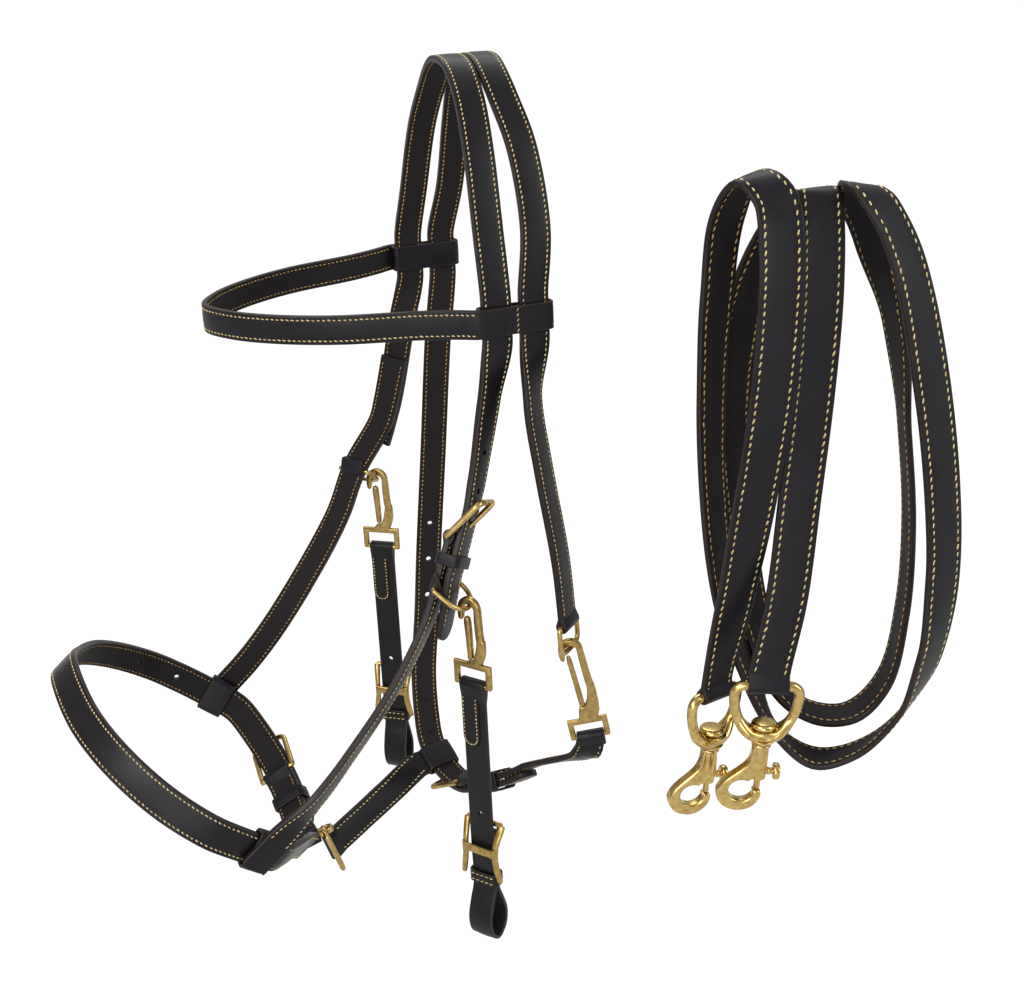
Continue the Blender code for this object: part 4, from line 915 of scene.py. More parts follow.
NOSE_ACROSS = Vector((0.77, 0, 0.64))
CHIN = Vector((-149, -11, -525))
CHIN_ACROSS = Vector((0.95, 0, 0.3)).normalized()
CHIN_ALONG = square_to(CHIN_ACROSS, Vector((0, 0.95, -0.3)))
CHIN_SHIFT = -3.0
chin_near = CHIN - CHIN_ALONG * CHIN_RING_SPAN / 2 + CHIN_ACROSS * CHIN_SHIFT
chin_far = CHIN + CHIN_ALONG * CHIN_RING_SPAN / 2 + CHIN_ACROSS * CHIN_SHIFT
chin_face = tuple(CHIN_ACROSS.cross(CHIN_ALONG) * -1)
nose_places = [Vector(p) for p in (
    chin_near - CHIN_ALONG,
    (-155, -32, -516), (-164, -62, -495), (-175, -95, -476), (-186.5, -115, -464.5), (-191, -116.5, -460.5),
    (-207.5, -118.7, -448), (-212, -119.2, -444.5),
    (-228, -118, -432.5), (-252, -105, -413), (-274, -80, -392.5), (-289, -44, -377), (-295, 0, -364),
    (-289, 44, -377), (-274, 80, -392.5), (-252, 106, -413), (-228, 118.5, -433), (-207, 118, -449),
    (-196, 116, -457.5), (-178, 109.5, -470.5), (-172, 105, -476), (-165, 92, -486), (-157, 76, -501),
    (-152, 62, -513), (-148.5, 44, -526), (-147.5, 28, -533), (-147.5, 14, -535),
)]
nose_stations = []
for i, place in enumerate(nose_places):
    t = nose_places[min(i + 1, len(nose_places) - 1)] - nose_places[max(i - 1, 0)]
    nose_stations.append((*place, tuple(NOSE_ACROSS.cross(t).normalized())))
nose_stations[0] = (*nose_stations[0][:3], chin_face)
nose_route = smooth(nose_stations)
noseband = strap("noseband", nose_route, NOSE_WIDTH, tip=ROUND_TIP, grain=GRAIN_22)
punch(noseband, nose_route, [nose_route.near(p) for p in ((-190, 116, -461), (-240, 113, -423), (-214, 119, -443))])
sew("noseband", nose_route, 6, 10, NOSE_WIDTH, inset=2.7)
fold("noseband_fold", chin_near, CHIN_ACROSS, RING_WIRE, -CHIN_ALONG, NOSE_WIDTH, GRAIN_22)

nose_bar_s = nose_route.near((-152, 62, -513))
bar_row = nose_route.at(nose_bar_s)
NOSE_BAR = bar_row[0] - bar_row[2] * BILLET_LIFT
chape_rows = behind_billet(nose_route, nose_bar_s, (11, 20, 30), 0.6)
chape_route = smooth(chape_rows + [(*(chin_far + CHIN_ALONG), chin_face)])
strap("noseband_chape", chape_route, NOSE_WIDTH, grain=GRAIN_22)
sew("noseband_chape", chape_route, 5, 5, NOSE_WIDTH, inset=2.7)
fold("chape_ring_fold", chin_far, CHIN_ACROSS, RING_WIRE, CHIN_ALONG, NOSE_WIDTH, GRAIN_22)
print("noseband:", round(nose_route.length + chape_route.length), "mm round")

# %% [markdown]
# ## Cheek straps
#
# Each cheek strap hangs from the crown, is sewn round a bit ring on the way and ends in a loop round
# the noseband. The near one hangs on the cheek buckle. The far one is lapped under the crown strap
# and sewn.

# %% Cheek straps


def cheek(side, stations, s):
    p, t, n, w = nose_route.at(s)
    spot = p + n * (DOUBLE + LOOP_SLIDE + 0.05)
    reach = NOSE_WIDTH / 2 + LOOP_SLIDE
    ends = [(*(spot + NOSE_ACROSS * (reach + 2)), tuple(n)), (*(spot - NOSE_ACROSS * (reach - 2)), tuple(n))]
    route = smooth(stations + ends)
    strap(f"cheek_strap_{side}", route)
    band(f"cheek_loop_{side}", (p, t, n, w), NOSE_WIDTH, DOUBLE, CROWN_WIDTH - 0.8, slide=LOOP_SLIDE)
    return route


near_s = nose_route.near((-199, -117.6, -454.3))
far_s = nose_route.near((-187, 112.8, -464))
cheek_near = cheek("near", near_cheek, near_s)
sew("cheek_near", cheek_near, 6, 22)
lap = front_route.part(front_route.near((-31, 96, -214)), front_route.length)
far_rows = [lap.station(lap.length * k / 4, -LAYER - 0.5) for k in range(4)]
FAR_BAR = Vector((RING_BAR.x, -RING_BAR.y, RING_BAR.z))
FAR_FACE = Vector((RING_FACE.x, -RING_FACE.y, 0))
cheek_far = cheek("far", far_rows + [
    (*FAR_BAR, FAR_FACE),
    (-81, 109, -331, (0.62, 0.65, -0.4)),
    (-102, 111, -366, (0.5, 0.75, -0.4)),
    (-136, 114, -414, (0.3, 0.9, -0.25)),
    (-159, 116.5, -441, (0.2, 0.95, -0.15)),
], far_s)
sew("cheek_far", cheek_far, 4, 22)

buckle("cheek_buckle", BUCKLE_BAR, (0.37, 0.14, 0.92), out(50), 31, cheek_near.at(0)[1])
buckle("noseband_buckle", NOSE_BAR, -bar_row[1], bar_row[2], 22, bar_row[1], NOSE_WIDTH, GRAIN_22, 1.5)
print("cheek straps:", round(cheek_near.length), "and", round(cheek_far.length), "mm")

# %% [markdown]
# ## Chin ring, jaw ring and jaw strap
#
# Under the chin a flat ring joins both ends of the noseband, and a second ring hangs in it for the
# strap that runs back to the throat latch.

# %% Under the chin
chin_line = ring_points(CHIN, CHIN_ACROSS, CHIN_ALONG, CHIN_RING_LENGTH + 2 * RING_WIRE, CHIN_RING_SPAN, 3.0)
wire("chin_ring", chin_line, CHIN_ACROSS.cross(CHIN_ALONG), RING_WIRE + RING_FULLER)
JAW_DOWN = square_to(CHIN_ACROSS, Vector((0.3, -0.2, -0.93)))
JAW_SIDE = facing(CHIN_ACROSS.cross(JAW_DOWN).normalized(), 0, 1, 0)
link = CHIN + CHIN_ACROSS * 12.2 - CHIN_ALONG * CHIN_RING_SPAN / 2
jaw_corner = JAW_RING_SPAN / 2 - 0.01
jaw_length = JAW_WIDTH + 1.5 + 2 * jaw_corner
jaw_centre = link + JAW_DOWN * (jaw_length / 2 - RING_WIRE * 2 - FIT)
jaw_line = ring_points(jaw_centre, JAW_DOWN, JAW_SIDE, jaw_length, JAW_RING_SPAN, jaw_corner)
wire("jaw_ring", jaw_line, JAW_DOWN.cross(JAW_SIDE), RING_WIRE + RING_FULLER, "jaw_link")
JAW_BAR = jaw_centre + JAW_SIDE * JAW_RING_SPAN / 2

loop_s = rear_route.near((-39.5, 28, -505))
loop_row = rear_route.at(loop_s)
rim = CROWN_WIDTH / 2 + LOOP_SLIDE + WALL * 0.7
toward = facing(loop_row[3], -1, 0, 0)
side_face = facing(loop_row[2], 0, -0.5, 0.84)
jaw_end = loop_row[0] + toward * (rim + 5)
jaw_route = smooth([
    (*JAW_BAR, (0.15, -0.93, 0.3)),
    (*JAW_BAR.lerp(jaw_end, 0.34), (0.1, -0.95, 0.27)),
    (*JAW_BAR.lerp(jaw_end, 0.67), (0, -0.93, 0.35)),
    (*jaw_end, side_face),
    (*(loop_row[0] + toward * rim), side_face),
])
strap("jaw_strap", jaw_route, JAW_WIDTH)
sew("jaw_strap", jaw_route, 5, 4, JAW_WIDTH)
fold("jaw_fold", JAW_BAR, JAW_DOWN, RING_WIRE, jaw_route.at(0)[1], JAW_WIDTH)
band("jaw_loop", loop_row, CROWN_WIDTH, DOUBLE, JAW_WIDTH - 0.8, slide=LOOP_SLIDE)
print("jaw strap:", round(jaw_route.length), "mm")

# %% [markdown]
# ## Throat strap
#
# A short strap takes the throat latch's billet in a buckle under the jaw and comes up on the near
# side to a long snap hook.

# %% Throat strap and keepers
throat_bar_s = rear_route.near((-28, -5, -514.5))
bar_row = rear_route.at(throat_bar_s)
THROAT_BAR = bar_row[0] - bar_row[2] * BILLET_LIFT
SNAP_EYE = Vector((33, -100, -436))
throat_route = smooth(behind_billet(rear_route, throat_bar_s, (12, 24, 36, 50), 0.7) + [
    (19, -72, -467, (0, -0.6, -0.8)),
    (28, -91, -456, (-0.1, -0.75, -0.65)),
    (31.5, -99, -447, (-0.35, -0.94, 0)),
    (*SNAP_EYE, (-0.35, -0.94, 0)),
])
strap("throat_strap", throat_route)
sew("throat_strap", throat_route, 6, 6)
buckle("throat_buckle", THROAT_BAR, -bar_row[1], bar_row[2], 24, bar_row[1])
keeper("cheek_keeper", cheek_near.at(ring_s * 0.5), CROWN_WIDTH, DOUBLE + BILLET_LIFT + 0.6, BILLET_LIFT / 2, 7.5)
keeper("noseband_keeper", nose_route.at(nose_bar_s + 22), NOSE_WIDTH, 2 * DOUBLE + 1.4, -(LAYER + 0.6) / 2,
       grain=GRAIN_22)
keeper("throat_keeper", rear_route.at(throat_bar_s + 34), CROWN_WIDTH, 2 * DOUBLE + 1.4, -(LAYER + 0.7) / 2)

# %% [markdown]
# ## Bit rings and throat ring
#
# Each cheek carries a D ring that stands out from the strap, and the throat latch ends in a D ring on
# the near side.

# %% Rings


def bit_ring(side, bar, face, across):
    drop = radians(39)
    d = face * cos(drop) - UP * sin(drop)
    radius = CROWN_WIDTH / 2 + BUCKLE_SIDE + 0.7 + BIT_RING_WIRE
    centre = bar + d * (BIT_RING_DEPTH - radius)
    points = [bar - across * (radius - 1.2), bar + across * (radius - 1.2), bar + across * radius + d * 1.2]
    points += [centre + (across * cos(a) + d * sin(a)) * radius for a in [pi * k / 24 for k in range(25)]]
    points.append(bar - across * radius + d * 1.2)
    wire(f"bit_ring_{side}", points, across.cross(d), BIT_RING_WIRE, side + "_ring")
    fold(f"bit_ring_fold_{side}", bar, across, BIT_RING_WIRE, reach=2.2)
    return centre, d, radius


near_across = RING_FACE.cross(UP).normalized()
near_bow = bit_ring("near", RING_BAR, RING_FACE, near_across)
far_across = FAR_FACE.cross(UP).normalized()
far_bow = bit_ring("far", FAR_BAR, FAR_FACE, far_across)

rear_end = rear_route.at(0)
RING_TOP = rear_end[0]
ring_across = facing(rear_end[3], 1, 0, 0)
RING_SPAN = 19.0
ring_down = square_to(ring_across, Vector((0.05, 0, -1)))
throat_line = ring_points(RING_TOP + ring_down * RING_SPAN / 2, ring_across, ring_down,
                          CROWN_WIDTH + 2 * BUCKLE_SIDE + 2 * RING_WIRE, RING_SPAN, 2.5, 6.5)
wire("throat_ring", throat_line, ring_across.cross(ring_down), RING_WIRE, "throat_link")
fold("throat_ring_fold", RING_TOP, ring_across, RING_WIRE, rear_route.at(4)[1])
THROAT_HOOK = RING_TOP + ring_down * RING_SPAN

# %% [markdown]
# ## Snap hooks
#
# The hooks of the bit hangers and of the throat latch are cast in one piece with a square eye, and
# closed by a thin gate that a spring presses out against the hook's nose. A long gate is slimmer, so
# that it clears the hook's spine when it is pressed in. The outline is chosen from a few points and
# arcs, and softened cuts its corners.

# %% Snap hooks


def trigger_snap(name, gate_name, spot, drop, eye_width, body, gate_body, gate_length=28.0):
    inner = HOOK_GAP / 2
    outer = inner + HOOK_ARCH - 0.6
    base = -(drop - 18)
    pivot_y = -5.0 - gate_length
    arch = arc(outer, outer + 0.7, 0, pi, 12)
    inside = arc(inner + 0.15, inner + 0.15, pi, 0, 8)
    middle_y = (pivot_y - 6) / 2
    outline = [(6.4, base - 5), (8.4, base - 0.5), (inner + 6.6, base + 5), (inner + 6.7, pivot_y + 12),
               (inner + 5.4, middle_y), *arch, (-outer, -4), (-outer + 0.5, -6.8), (-outer + 1.7, -7.7),
               (-inner - 1.2, -7.4), *inside, (inner, -8), (inner + 0.5, middle_y), (inner + 1.2, pivot_y + 12),
               (inner - 0.5, pivot_y + 3), (inner - 2.4, pivot_y - 1.5), (-1.0, pivot_y - 3.0), (-3.6, pivot_y - 3.2),
               (-5.4, base - 5)]
    bm = plate(softened(outline), HOOK_THICK, spot, 1.5, 4)
    x, y, z = (Vector(spot.col[k][:3]) for k in range(3))
    half, bar = eye_width / 2, 3.9
    low, high = -drop, -drop + 15.3
    eye = [(-half, low), (-half, high), (half, high), (half, low), (half - bar, low), (half - bar, high - bar),
           (bar - half, high - bar), (bar - half, low)]
    add_mesh(bm, plate(eye, 3.3, spot, 0.9))
    foot = spot.translation + y * low
    add_rod(bm, foot - x * (half - 0.3), foot + x * (half - 0.3), BUCKLE_WIRE + 0.05, 20, 0.5)
    brass_piece(name, bm, ANTIQUE, body)
    top = -inner + FIT
    full = 4.3 if gate_length < 30 else 3.2
    gate = arc(1.9, 1.9, -pi, 0, 8, -0.8, pivot_y)
    gate += [(top + full, -14), (top + full - 0.4, -7.5), (top + full - 1.3, -5.4), (top + 1.2, -4.9),
             (top - 0.2, -5.6), (top - 0.7, -9), (top - 0.2, -14)]
    flap = plate(softened(gate), HOOK_THICK - 0.2, spot, 1.3, 4)
    pivot = spot.translation - x * 0.8 + y * pivot_y
    add_rod(flap, pivot - z * (HOOK_THICK / 2 + 0.3), pivot + z * (HOOK_THICK / 2 + 0.3), 1.2, 16, 0.3)
    brass_piece(gate_name, flap, ANTIQUE, gate_body)
    return spot.translation - y * drop, x


def hook_seat(ring_wire, tilt):
    """How far the hook's bend hangs below the middle of a ring's wire that crosses it at a tilt."""
    return HOOK_GAP / 2 - ring_wire / cos(tilt) - FIT - HOOK_THICK / 2 * tan(tilt)


snap_up = (THROAT_HOOK - SNAP_EYE).normalized()
snap_face = square_to(snap_up, Vector((-0.35, -0.94, 0)))
snap_across = snap_up.cross(snap_face)
hook_point = THROAT_HOOK - snap_up * hook_seat(RING_WIRE, radians(12))
eye_bar, eye_axis = trigger_snap("throat_snap", "throat_snap_gate", axes(hook_point, snap_across, snap_up, snap_face),
                                 (hook_point - SNAP_EYE).length, CROWN_WIDTH + 2 * BUCKLE_SIDE + 4 * BUCKLE_WIRE,
                                 "throat_hook", "throat_gate", 40.0)
fold("throat_snap_fold", eye_bar, eye_axis, BUCKLE_WIRE, -throat_route.at(throat_route.length)[1])

# %% [markdown]
# ## Bit hangers
#
# Below each hook hangs a short strap with a loop that carries the bit. It is folded over the hook's
# eye and sewn in a U, passes a wire buckle shaped like an H, and its tail comes back up behind it
# through a keeper.

# %% Bit hangers
CONWAY = -176.0


def hanger(side, hook, turn, tilt=0.0):
    across = Vector((cos(radians(turn)), sin(radians(turn)), 0))
    n = across.cross(UP)
    seat = hook_seat(BIT_RING_WIRE, tilt)
    body = side + "_hanger"
    bar, x = trigger_snap(f"hanger_snap_{side}", f"hanger_gate_{side}", axes(hook - UP * seat, across, UP, n),
                          EYE_BAR_DROP - seat, EYE_WIDTH, side + "_hook", side + "_gate")
    back = -(SINGLE + FIT + 0.15)
    line = ((0, -EYE_BAR_DROP, 1, 0), (0, -110, 1, 0), (0, CONWAY, 1, 0), (0, -206, 1, 0), (4.2, -217, 0.95, 0.3),
            (7.6, -229, 1, -0.1), (5.5, -240, 0.7, -0.7), (-2, -246, 0, -1), (-9.5, -240, -0.7, -0.7),
            (-11.4, -229, -1, -0.1), (-7.6, -217, -0.95, 0.3), (back, -206, -1, 0), (back, -190, -1, 0),
            (back, -162, -1, 0))
    route = smooth([(*(hook + n * y + UP * z), tuple(n * fy + UP * fz)) for y, z, fy, fz in line], 2.0)
    made = strap(f"hanger_strap_{side}", route, HANG_WIDTH, SINGLE, body, grain=GRAIN_HANGER, step=2.0)
    punch(made, route, [route.near(hook + UP * -150)], SINGLE)
    lap_half = 6.2
    lap = route.part(3, 46, 2.0).raised(SINGLE / 2 + 0.5, HANG_WIDTH / 2 - lap_half - 0.5)
    count = len(lap.rows)
    ease = [sqrt(max(1 - ((k - count + 6) / 5.2) ** 2, 0.02)) if k > count - 6 else 1.0 for k in range(count)]
    bm = sweep(lap.rows, strap_section(2 * lap_half, 2.0, edge=0.7, crown=0.1), shares=ease)
    strap_finish(bm, 2 * lap_half, 2.0)
    piece(f"hanger_lap_{side}", bm, [GRAIN_HANGER, EDGE_DYE, FLESH], body)
    fold(f"hanger_eye_fold_{side}", bar, x, BUCKLE_WIRE, -UP, HANG_WIDTH, GRAIN_HANGER, body, SINGLE + 2, 3.0)
    u_stitches = bmesh.new()
    seam, turn_at = lap_half - 1.5, lap.length - 7.5
    for s_side in (-1, 1):
        sew_row(u_stitches, lap, s_side * seam, 1, 0.85, 5.5, turn_at, 2.6, 0.46)
    for k in range(7):
        a = pi * (k + 0.5) / 7
        p, t, nn, w = lap.at(turn_at + (seam - 0.4) * sin(a))
        add_stitch(u_stitches, p + w * seam * cos(a) + nn * 0.85, t * cos(a) - w * sin(a), nn, 2.2, 0.46)
    piece(f"hanger_lap_stitches_{side}", u_stitches, [THREAD], body)
    arm = HANG_WIDTH / 2 + BUCKLE_SIDE + 1.7
    front = SINGLE / 2 + FIT + 2.4
    behind = -(SINGLE / 2 + FIT + 1.7)
    frame_mesh = bmesh.new()
    limb_line = ((2.8, 2.5, -22), (1.6, 3.1, -16), (0.6, 3.4, -10), (0, 3.4, -5), (0, 3.2, 0), (0.2, 2.4, 5),
                 (0.6, 1.0, 9), (1.2, -1.0, 13.5), (1.8, behind, 18.5))
    limb_shares = {
        -1: (0.9, 1.05, 1.1, 1.0, 1.0, 1.0, 1.05, 1.15, 1.2),
        1: (1.0, 1.2, 1.25, 1.2, 1.2, 1.2, 1.3, 1.45, 1.5),
    }
    lower = []
    for s, shares in limb_shares.items():
        places = [hook + across * s * (arm + px) + n * py + UP * (CONWAY + pz) for px, py, pz in limb_line]
        limb = sweep(rows_through(places, n), arc(1.75 * 1.12, 1.75 * 0.95, 0, 2 * pi, 20)[:-1], shares=shares)
        round_rims(limb, 0.9, 3)
        add_mesh(frame_mesh, limb)
        lower.append(places[-1])
    add_rod(frame_mesh, *lower, 1.75, 20)
    quarter = [(arm - 4.5, 2.85), (arm - 1.6, 3.2), (arm + 1.2, 4.4)]
    flare = [(-px, py) for px, py in reversed(quarter)] + quarter
    flare += [(px, -py) for px, py in reversed(flare)]
    add_mesh(frame_mesh, plate(flare, 2.6, axes(hook + n * (front + 0.4) + UP * CONWAY, across, UP, n), 0.9))
    brass_piece(f"hanger_buckle_{side}", frame_mesh, ANTIQUE, body)
    row = route.at(route.near(hook + UP * -199))
    keeper(f"hanger_keeper_{side}", row, HANG_WIDTH, 2 * SINGLE + 0.6, back / 2, body=body, grain=GRAIN_HANGER)
    rows_of_thread = bmesh.new()
    p, t, nn, w = row
    for level in (-2.2, 2.2):
        for k in range(5):
            spot = p + t * level + w * (-7.2 + 3.6 * k) + nn * (back / 2 + SINGLE + 0.3 + SLIDE + KEEPER_WALL)
            add_stitch(rows_of_thread, spot, (w + t * 0.08).normalized(), nn, 2.9, 0.42)
    piece(f"hanger_keeper_stitches_{side}", rows_of_thread, [THREAD], body)


centre, d, radius = near_bow
hanger("near", centre + d * radius, -53)
centre, d, radius = far_bow
bow_angle = radians(60)
side_way = facing(far_across, 0, -1, 0)
bow_rise = abs((side_way * cos(bow_angle) - d * sin(bow_angle)).z)
hanger("far", centre + side_way * radius * sin(bow_angle) + d * radius * cos(bow_angle), -35, asin(bow_rise))
print("hangers made")

# %% [markdown]
# ## Reins
#
# The reins are one long strap, hung over something outside the picture so that it falls in a hank of
# three loops, with both snaps hanging free. Its stations are written as they are seen: to the right,
# away from the camera and up, from the middle of the hank.

# %% Rein strap
REINS_AT = Vector((147.8, -205.4, -233.3))
turn = Matrix.Rotation(radians(-18.8), 3, "Z")


def rein_way(u, d, z):
    return turn @ Vector((u, -d, z))


def rein_point(u, d, z):
    return REINS_AT + rein_way(u, d, z)


RIGHT_END, LEFT_END, REIN_LEAN = (-39.4, 28.0, -123.7), (-67.5, 2.0, -141.0), 5.0
rein_down = Vector((-sin(radians(REIN_LEAN)), 0, -cos(radians(REIN_LEAN))))
LEFT_FACE = (sin(radians(LEFT_TURN)), cos(radians(LEFT_TURN)), 0)
rein_stations = [
    (*RIGHT_END, (0, 1, 0)),
    (RIGHT_END[0] - rein_down.x * 12, RIGHT_END[1] - 0.5, RIGHT_END[2] - rein_down.z * 12, (0, 1, 0)),
    (-28, 20, -69, (0, 1, 0)),
    (-20, 13, -4, (0, 1, 0)),
    (-14, 12, 58, (0.05, 1, 0)),
    (-11, 12, 116, (0.05, 1, 0.1)),
    (-11, 7, 158, (0.05, 0.8, 0.6)),
    (-11, -6, 171, (0, 0, 1)),
    (-22, -21, 158, (-0.1, -0.8, 0.6)),
    (-43, -32, 112, (-0.3, -1, 0.1)),
    (-52, -40, 39, (-0.5, -0.85, 0)),
    (-48, -40, -26, (-0.5, -0.85, 0)),
    (-40, -36, -92, (-0.6, -0.7, -0.1)),
    (-26, -32, -146, (-0.7, -0.4, -0.6)),
    (-4, -30, -172, (-0.3, -0.1, -1)),
    (25, -31, -176, (0.4, 0, -0.9)),
    (46, -32, -154, (0.8, 0, -0.6)),
    (56, -33, -104, (1, 0, -0.2)),
    (57, -33, -42, (1, 0, 0)),
    (51, -32, 20, (1, 0, 0.1)),
    (42, -30, 84, (0.9, -0.3, 0.2)),
    (26, -26, 136, (0.6, -0.7, 0.4)),
    (15, -16, 163, (0.3, -0.7, 0.7)),
    (13, -2, 173, (0.2, 0, 1)),
    (21, 11, 165, (0.4, 0.6, 0.7)),
    (36, 16, 133, (0.5, 0.8, 0.4)),
    (53, 17, 60, (0.45, 0.9, 0.1)),
    (63, 17, -10, (0.45, 0.9, 0)),
    (66, 16, -60, (0.45, 0.85, 0)),
    (62, 14, -112, (0.6, 0.75, -0.3)),
    (48, 9, -154, (0.6, 0.4, -0.7)),
    (24, 1, -184, (0.3, 0.2, -1)),
    (-3, -5, -193, (-0.1, 0, -1)),
    (-27, -10, -175, (-0.8, 0, -0.7)),
    (-43.5, -17, -136, (-0.9, -0.4, -0.3)),
    (-60, -18, -78, (-0.8, -0.6, -0.1)),
    (-67, -19, -10, (-0.75, -0.66, 0)),
    (-68, -20, 50, (-0.7, -0.7, 0)),
    (-65, -20, 110, (-0.6, -0.8, 0.1)),
    (-60, -16, 156, (-0.4, -0.7, 0.5)),
    (-50, -2, 181, (-0.15, 0, 1)),
    (-38, 13, 172, (0, 0.6, 0.8)),
    (-35, 20, 146, (0, 0.95, 0.3)),
    (-36, 22, 100, (0, 1, 0)),
    (-39, 21, 58, (0, 1, 0)),
    (-47, 18, -4, (0.12, 1, 0)),
    (-57, 10, -72, (0.35, 0.93, 0)),
    (LEFT_END[0] - rein_down.x * 12, LEFT_END[1] + 0.5, LEFT_END[2] - rein_down.z * 12, LEFT_FACE),
    (*LEFT_END, LEFT_FACE),
]
rein_route = smooth([(*rein_point(*row[:3]), tuple(rein_way(*row[3]))) for row in rein_stations], 4.0)
strap("rein_strap", rein_route, REIN_WIDTH, REIN_THICK, "reins", grain=GRAIN_REIN, step=4.0)
sew("rein_strap", rein_route, 6, 6, REIN_WIDTH, REIN_THICK, "reins", 3.6, REIN_PITCH, REIN_THREAD, 0.4)
print("reins:", round(rein_route.length), "mm from ring to ring")

# %% [markdown]
# ## Rein rings and bolt snaps
#
# Each end of the reins is folded round a heavy ring. A bolt snap turns on a swivel in the ring: its
# hook is closed by a sprung bolt, which a round knob draws back. It is a chunky casting, so its rims
# are rounded far more than those of the small hooks.

# %% Bolt snaps
RING_RISE = 3.0  # the photograph shows the rings this much higher than the solids are


def snap_outline(neck):
    """The body, the hook and the round hole that the hook leaves open beside the bolt."""
    left = [(4.6, 8.6), (4.6, neck), (-5.0, neck), (-5.6, 24.6), (-7.6, 18.8), (-12, 14.3), (-17.4, 9.9),
            (-22.7, 4.6), (-25.4, -0.9), (-24.6, -6), (-21.6, -10.6), (-16.8, -13.4), (-10.6, -14.6),
            (-4.9, -13.2), (-0.2, -9.8), (2.4, -4.8), (2.7, -1.2), (1.6, 0.4), (-2.6, 0.4)]
    return left + arc(7.8, 7.3, radians(-18), radians(-298), 20, -9.9) + [(-3.6, 8.4)]


def bolt_snap(side, end, turned, swivel):
    x = rein_way(cos(radians(REIN_LEAN)), 0, -sin(radians(REIN_LEAN)))
    y = rein_way(-rein_down.x, 0, -rein_down.z)
    x = Matrix.Rotation(radians(turned), 3, y) @ x
    z = x.cross(y)
    bar = rein_point(*end)
    top = bar + y * RING_RISE
    half_w, half_h = REIN_RING_WIDTH / 2 - REIN_RING_WIRE, REIN_RING_HEIGHT / 2 - REIN_RING_WIRE
    straight = REIN_WIDTH / 2 + 0.9
    corner = half_w - straight
    low = -2 * half_h
    right = [(straight + corner * sin(a), -corner + corner * cos(a)) for a in [pi / 16 * k for k in range(8)]]
    outline = right + arc(half_w, low + corner, 0, pi, 32, 0, -corner) + [(-px, py) for px, py in reversed(right)]
    rows = rows_through(spaced([top + x * px + y * py for px, py in outline]), z, True)
    swell = []
    for p, _, _, _ in rows:
        share = min(max((-(p - top).dot(y) / -low - 0.62) / 0.34, 0.0), 1.0)
        swell.append(share * share * (3 - 2 * share))
    ring = sweep(rows, circle(REIN_RING_WIRE, 24), True, [1 + 0.35 * q for q in swell], [1 + 1.15 * q for q in swell])
    boss_low, boss_high = low - REIN_RING_WIRE - 1.0, low + REIN_RING_WIRE + 2.4
    level = top + y * (boss_high - 2.2)
    add_mesh(ring, plate(arc(BOSS_WIDTH / 2, 8.0, 0, 2 * pi, 40)[:-1], 4.4, axes(level, x, z, -y), 1.9, 4))
    add_rod(ring, top + y * (low - 1), top + y * boss_low, 8.4, 36, 0.8, 6.6)
    brass_piece(f"rein_ring_{side}", ring, POLISHED, f"{side}_rein_ring")
    fold(f"rein_fold_{side}", top, x, REIN_RING_WIRE, y, REIN_WIDTH, GRAIN_REIN, "reins", REIN_THICK, 1.65, 1.6)

    swing = Matrix.Rotation(radians(swivel), 3, y)
    sx, sz = swing @ x, swing @ z
    neck = SNAP_NECK + RING_RISE
    origin = top + y * (boss_low - FIT - neck)
    bm = plate(softened(snap_outline(neck)), 7.4, axes(origin, sx, y, sz), 3.2, 6)
    add_rod(bm, origin + y * 8.2, origin + y * (neck - 0.4), 4.9, 36, 1.0)
    add_rod(bm, origin + y * (neck - 2.4), origin + y * (neck - 0.1), 6.0, 36, 0.9)
    add_rod(bm, origin + y * 24, top + y * (boss_high + 1.5), 2.4, 24)
    add_rod(bm, top + y * (boss_high + FIT), top + y * (boss_high + FIT + 4.4), 8.2, 44, 2.2, 7.6)
    brass_piece(f"rein_snap_{side}", bm, POLISHED, f"{side}_rein_snap")

    bolt = bmesh.new()
    add_rod(bolt, origin + y * 0.75, origin + y * 16, 2.0, 24, 0.4)
    knob = origin + y * SNAP_KNOB
    add_rod(bolt, knob, knob + sx * 9, 2.0, 24)
    add_rod(bolt, knob + sx * 5.4, knob + sx * 7.2, 2.5, 24, 0.5)
    add_rod(bolt, knob + sx * 8.8, knob + sx * 13, 5.3, 44, 1.3)
    brass_piece(f"rein_bolt_{side}", bolt, POLISHED, f"{side}_rein_bolt")


bolt_snap("right", RIGHT_END, 0, 0)
bolt_snap("left", LEFT_END, LEFT_TURN, LEFT_SWIVEL)
print("snaps made")

# %% [markdown]
# ## Studio
#
# The photograph shows the bridle on white under soft, even light. Four large lamps and a pale sky give
# that. The sky is darker to reflections near the horizon than overhead, which gives the brass its dark
# sides. The floor lies well below the bridle. It is white to the camera and grey to the lamps, so that
# it keeps a faint shadow.

# %% Studio
HORIZON, ZENITH, FILL, FLOOR_SHINE, FLOOR_Z = 0.38, 0.62, 0.4, 0.8, -0.66


def softbox(name, place, target, size, power):
    lamp = bpy.data.lights.new(name, "AREA")
    lamp.shape = "RECTANGLE"
    lamp.size, lamp.size_y = size
    lamp.energy = power
    place = Vector(place)
    turn = (Vector(target) - place).to_track_quat("-Z", "Y").to_matrix().to_4x4()
    linked(name, lamp).matrix_world = Matrix.Translation(place) @ turn


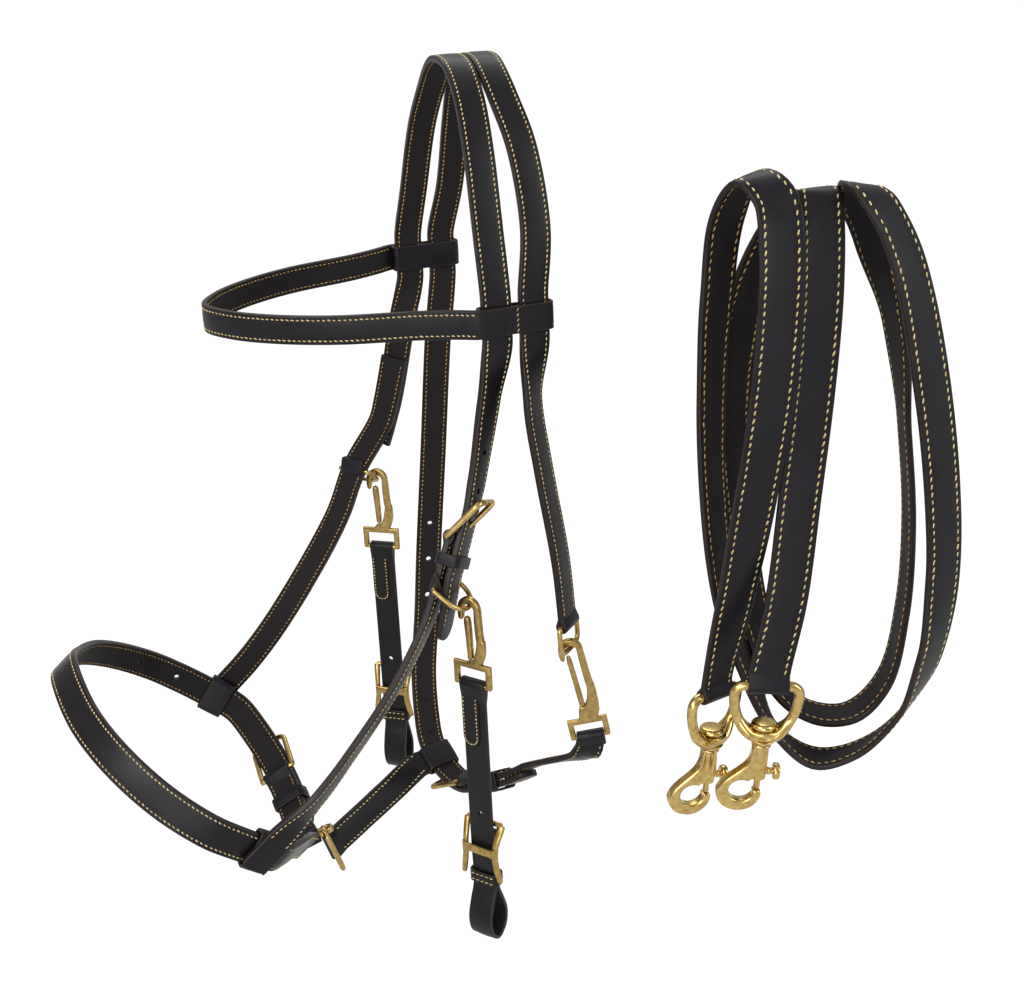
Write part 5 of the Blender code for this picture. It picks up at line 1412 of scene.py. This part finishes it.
def empty_tree(data):
    """An emptied node tree, the rays' kinds, and 1 for a ray that shows the surroundings themselves, else 0."""
    data.use_nodes = True
    data.node_tree.nodes.clear()
    rays = node(data.node_tree, "ShaderNodeLightPath").outputs
    return data.node_tree, rays, maths(data.node_tree, "MAXIMUM", rays["Is Camera Ray"], rays["Is Transmission Ray"])


softbox("key_left", (-2.2, -1.6, 1.6), (0, 0, -0.3), (1.6, 1.6), 54)
softbox("fill_right", (1.8, -1.9, 0.9), (0.05, -0.1, -0.3), (1.0, 2.0), 30)
softbox("front", (-1.3, -2.6, 0.1), (0, 0, -0.3), (1.6, 1.4), 24)
softbox("top_back", (0.3, 1.5, 1.7), (0, 0, -0.25), (2.2, 1.0), 20)

world = bpy.data.worlds.new("studio")
bpy.context.scene.world = world
tree, rays, seen = empty_tree(world)
skyward = node(tree, "ShaderNodeTexCoord").outputs["Generated"]
height = node(tree, "ShaderNodeSeparateXYZ", Vector=skyward).outputs["Z"]
walls = value_range(tree, height, -0.1, 0.6, HORIZON, ZENITH)
shine = maths(tree, "MULTIPLY", walls, rays["Is Glossy Ray"])
glow = maths(tree, "MAXIMUM", maths(tree, "MAXIMUM", shine, FILL), seen)
sky = node(tree, "ShaderNodeBackground", Color=(1, 1, 1, 1), Strength=glow)
node(tree, "ShaderNodeOutputWorld", Surface=sky.outputs[0])

floor_mesh = bmesh.new()
bmesh.ops.create_grid(floor_mesh, x_segments=1, y_segments=1, size=20, matrix=Matrix.Translation((0, 0, FLOOR_Z)))
floor = linked("floor", mesh_of("floor", floor_mesh))
paper = bpy.data.materials.new("white_studio_paper")
tree, rays, seen = empty_tree(paper)
matt = node(tree, "ShaderNodeBsdfDiffuse", Color=colour("5a5a5a"))
bright = maths(tree, "MULTIPLY_ADD", rays["Is Glossy Ray"], FLOOR_SHINE, seen)
white = node(tree, "ShaderNodeEmission", Color=(1, 1, 1, 1), Strength=bright)
both = node(tree, "ShaderNodeAddShader", in0=matt.outputs[0], in1=white.outputs[0])
node(tree, "ShaderNodeOutputMaterial", Surface=both.outputs[0])
floor.data.materials.append(paper)
bpy.context.scene.view_settings.view_transform = "Standard"
